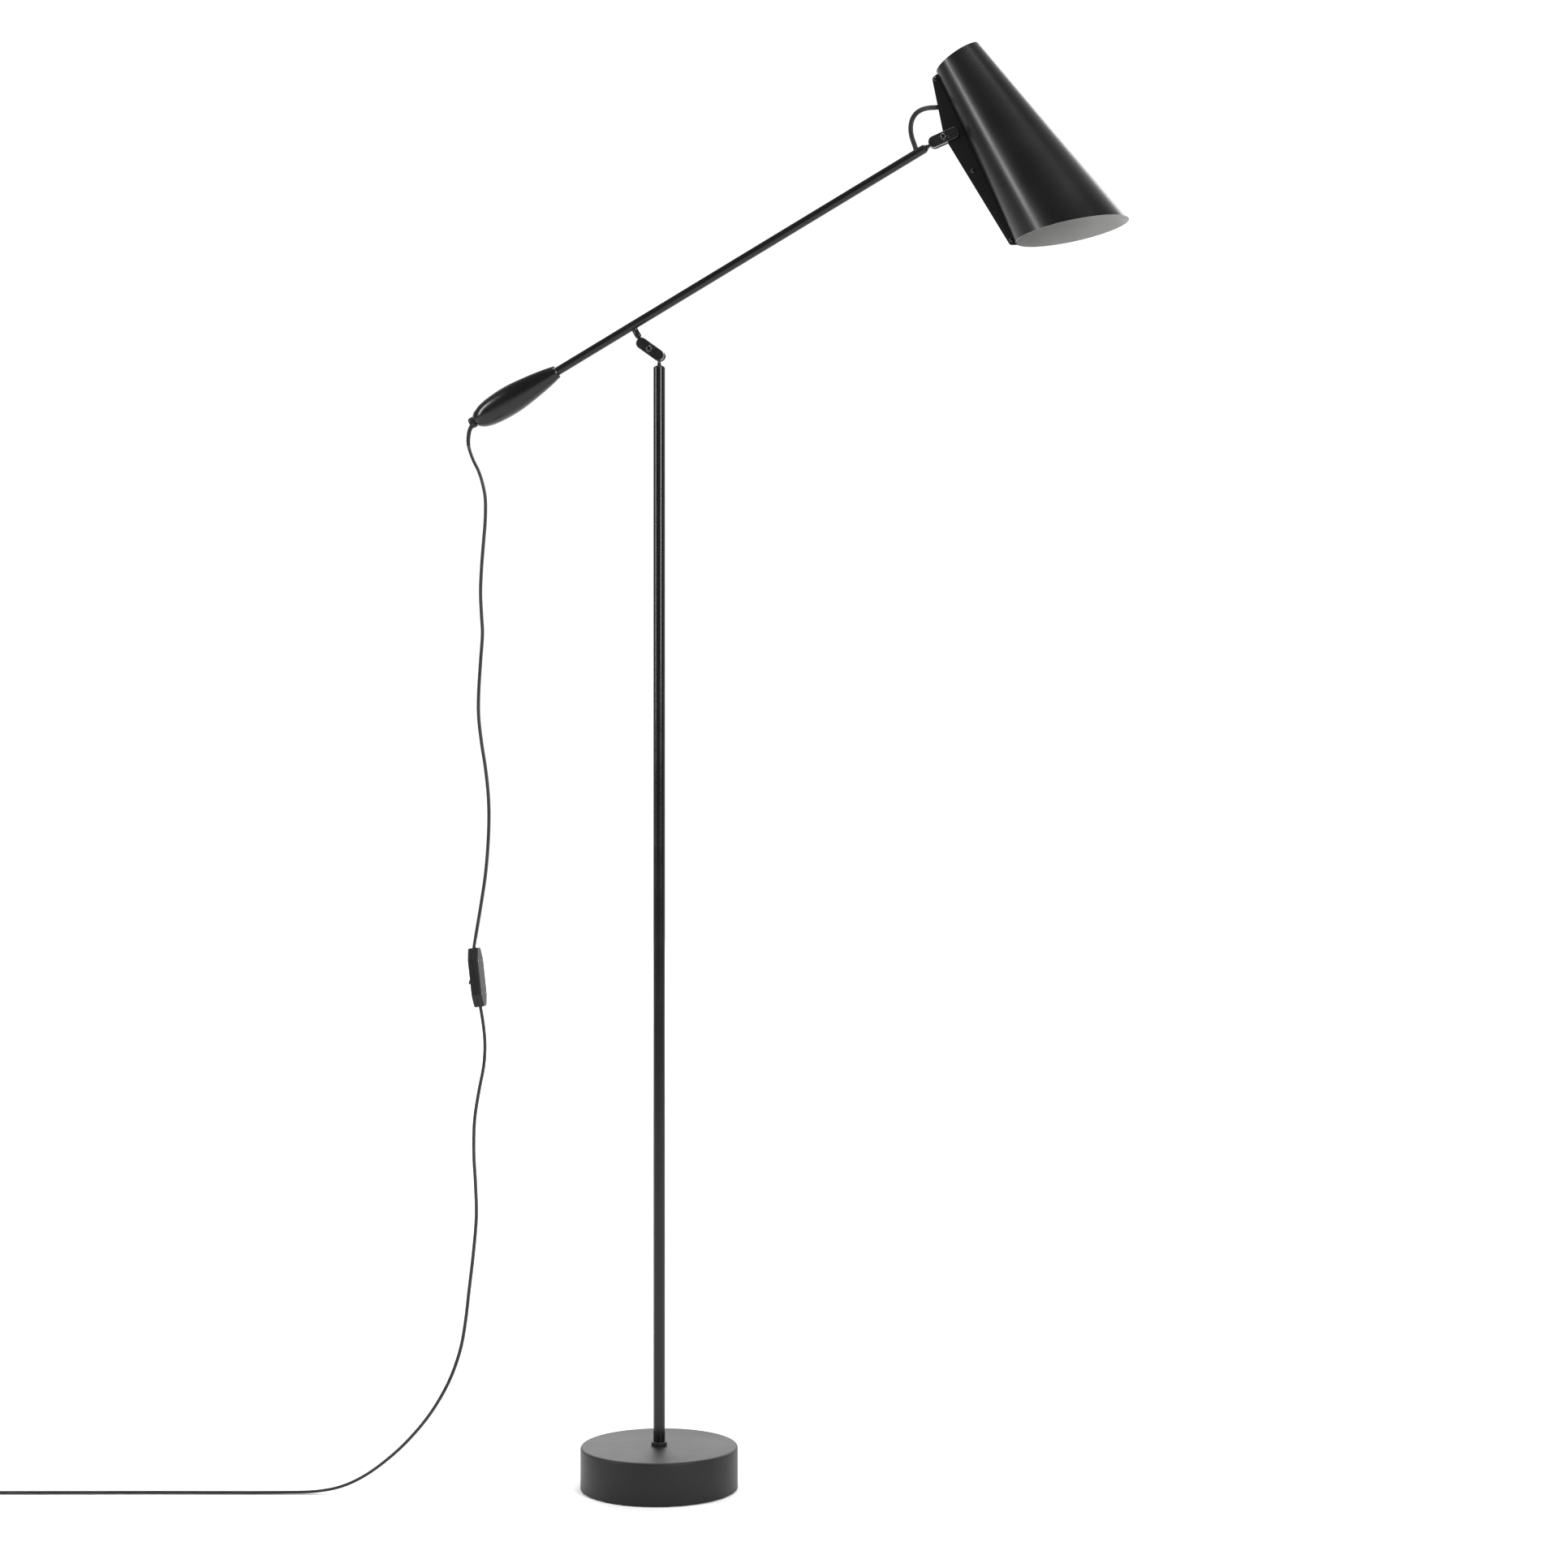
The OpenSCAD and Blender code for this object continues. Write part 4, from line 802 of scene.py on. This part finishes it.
for x in (-6.4, 6.4):
    for y in (-17, 17):
        screw = lathe([(0, 0.3), (0.85, 0.3), (0.85, 3.9), (1.75, 3.9), (1.75, 4.8), (1.4, 5.2), (0.6, 5.2),
                       (0.55, 4.5), (0, 4.5)], 24)
        screws.append(moved(screw, Matrix.Translation((x, y, 0))))
switch_screws = weighted(piece("switch_back_screws", joined(*screws), zinc, "post_stud",
                               ["switch_screws"], at=in_switch @ edgeways))
rocker = prism([(-9.1, -6), (-6.6, 0.6), (-6.9, 6.2), (-5.1, 6.6), (-2.6, 4), (-2, 0), (-2.6, -4), (-5.1, -6.6)],
               -4.7, 4.7, (1, 2, 0.9, 0, 0, 0, 0, 0))
soften(rocker, 0.45, 3, 50)
switch_rocker = weighted(piece("switch_rocker_key", rocker, moulded, "rocker",
                               ["switch_rocker"], at=in_switch @ facing))

# ---------- plug and coil tie ----------
# A flat two pin mains plug with a ribbed strain relief, moulded onto the end of the cord. Its pins
# are nickel plated and half sleeved, and a strap holds the spare turns together.
in_plug = (Matrix.Translation(Vector((-739.6, -90, 7)) * mm) @ Matrix.Rotation(math.radians(11), 4, "Z")
           @ Matrix.Scale(mm, 4))
lengthways = Matrix.Rotation(math.radians(-90), 4, "X")
grip = prism([(-6, 22), (6, 22), (17, 42), (17, 56), (-17, 56), (-17, 42)], -6.7, 6.7, (1.5, 1.5, 4, 1.5, 1.5, 4))
soften(grip, 2.4, 6, 40)
grip = cut(grip, *[slab((-5, y, z), (5, y + 1.2, z + 2)) for y in (31, 34, 37, 40) for z in (-8.2, 6.2)])
ribs = []
for step in range(24):
    ribs.append((3.3 + 2.3 * step / 23 - (0.55 if step % 3 == 1 and 3 < step < 20 else 0), step))
relief = moved(lathe([(0, -0.2), (3, -0.2), *ribs, (0, 23)], 40), lengthways)
plug = weighted(piece("plug_moulded_grip", joined(grip, relief), moulded, "post_stud",
                      ["plug_body"], at=in_plug))
nickel = Finish("nickel_plated_pins", Metallic=1.0)
nickel.give(Base_Color=nickel.tint(nickel.noise(400, 3), (0.62, 0.61, 0.58), (0.74, 0.73, 0.7)),
            Roughness=0.16 + 0.12 * nickel.noise(900, 2))
pins = []
for x in (-9.3, 9.3):
    pin = lathe([(0, 56), (2, 56), (2, 66), (1.9, 66.2), (1.9, 73), (1.6, 74.2), (1, 74.9), (0, 75)], 32)
    for face in pin.faces:
        face.material_index = 1 if face.calc_center_median().z < 66.1 else 0
    pins.append(moved(pin, Matrix.Translation((x, 0, 0)) @ lengthways))
plug_pins = piece("plug_half_sleeved_pins", joined(*pins), [nickel, moulded], "post_stud",
                  ["plug_pins"], at=in_plug)
strap = soften(slab((-6.6, -2, -5.55), (6.6, 2, 5.55)), 0.7, 3)
strap = cut(strap, slab((-5.8, -4, -4.76), (5.8, 4, 4.76)))
tie = piece("coil_strap", strap, rubber, "post_stud", ["coil_tie"],
            at=in_row @ Matrix.Translation(coil_centre) @ Matrix.Rotation(math.radians(200), 4, "Z")
            @ Matrix.Translation((29, 0, 5.65)))

run_length(lower_curve)
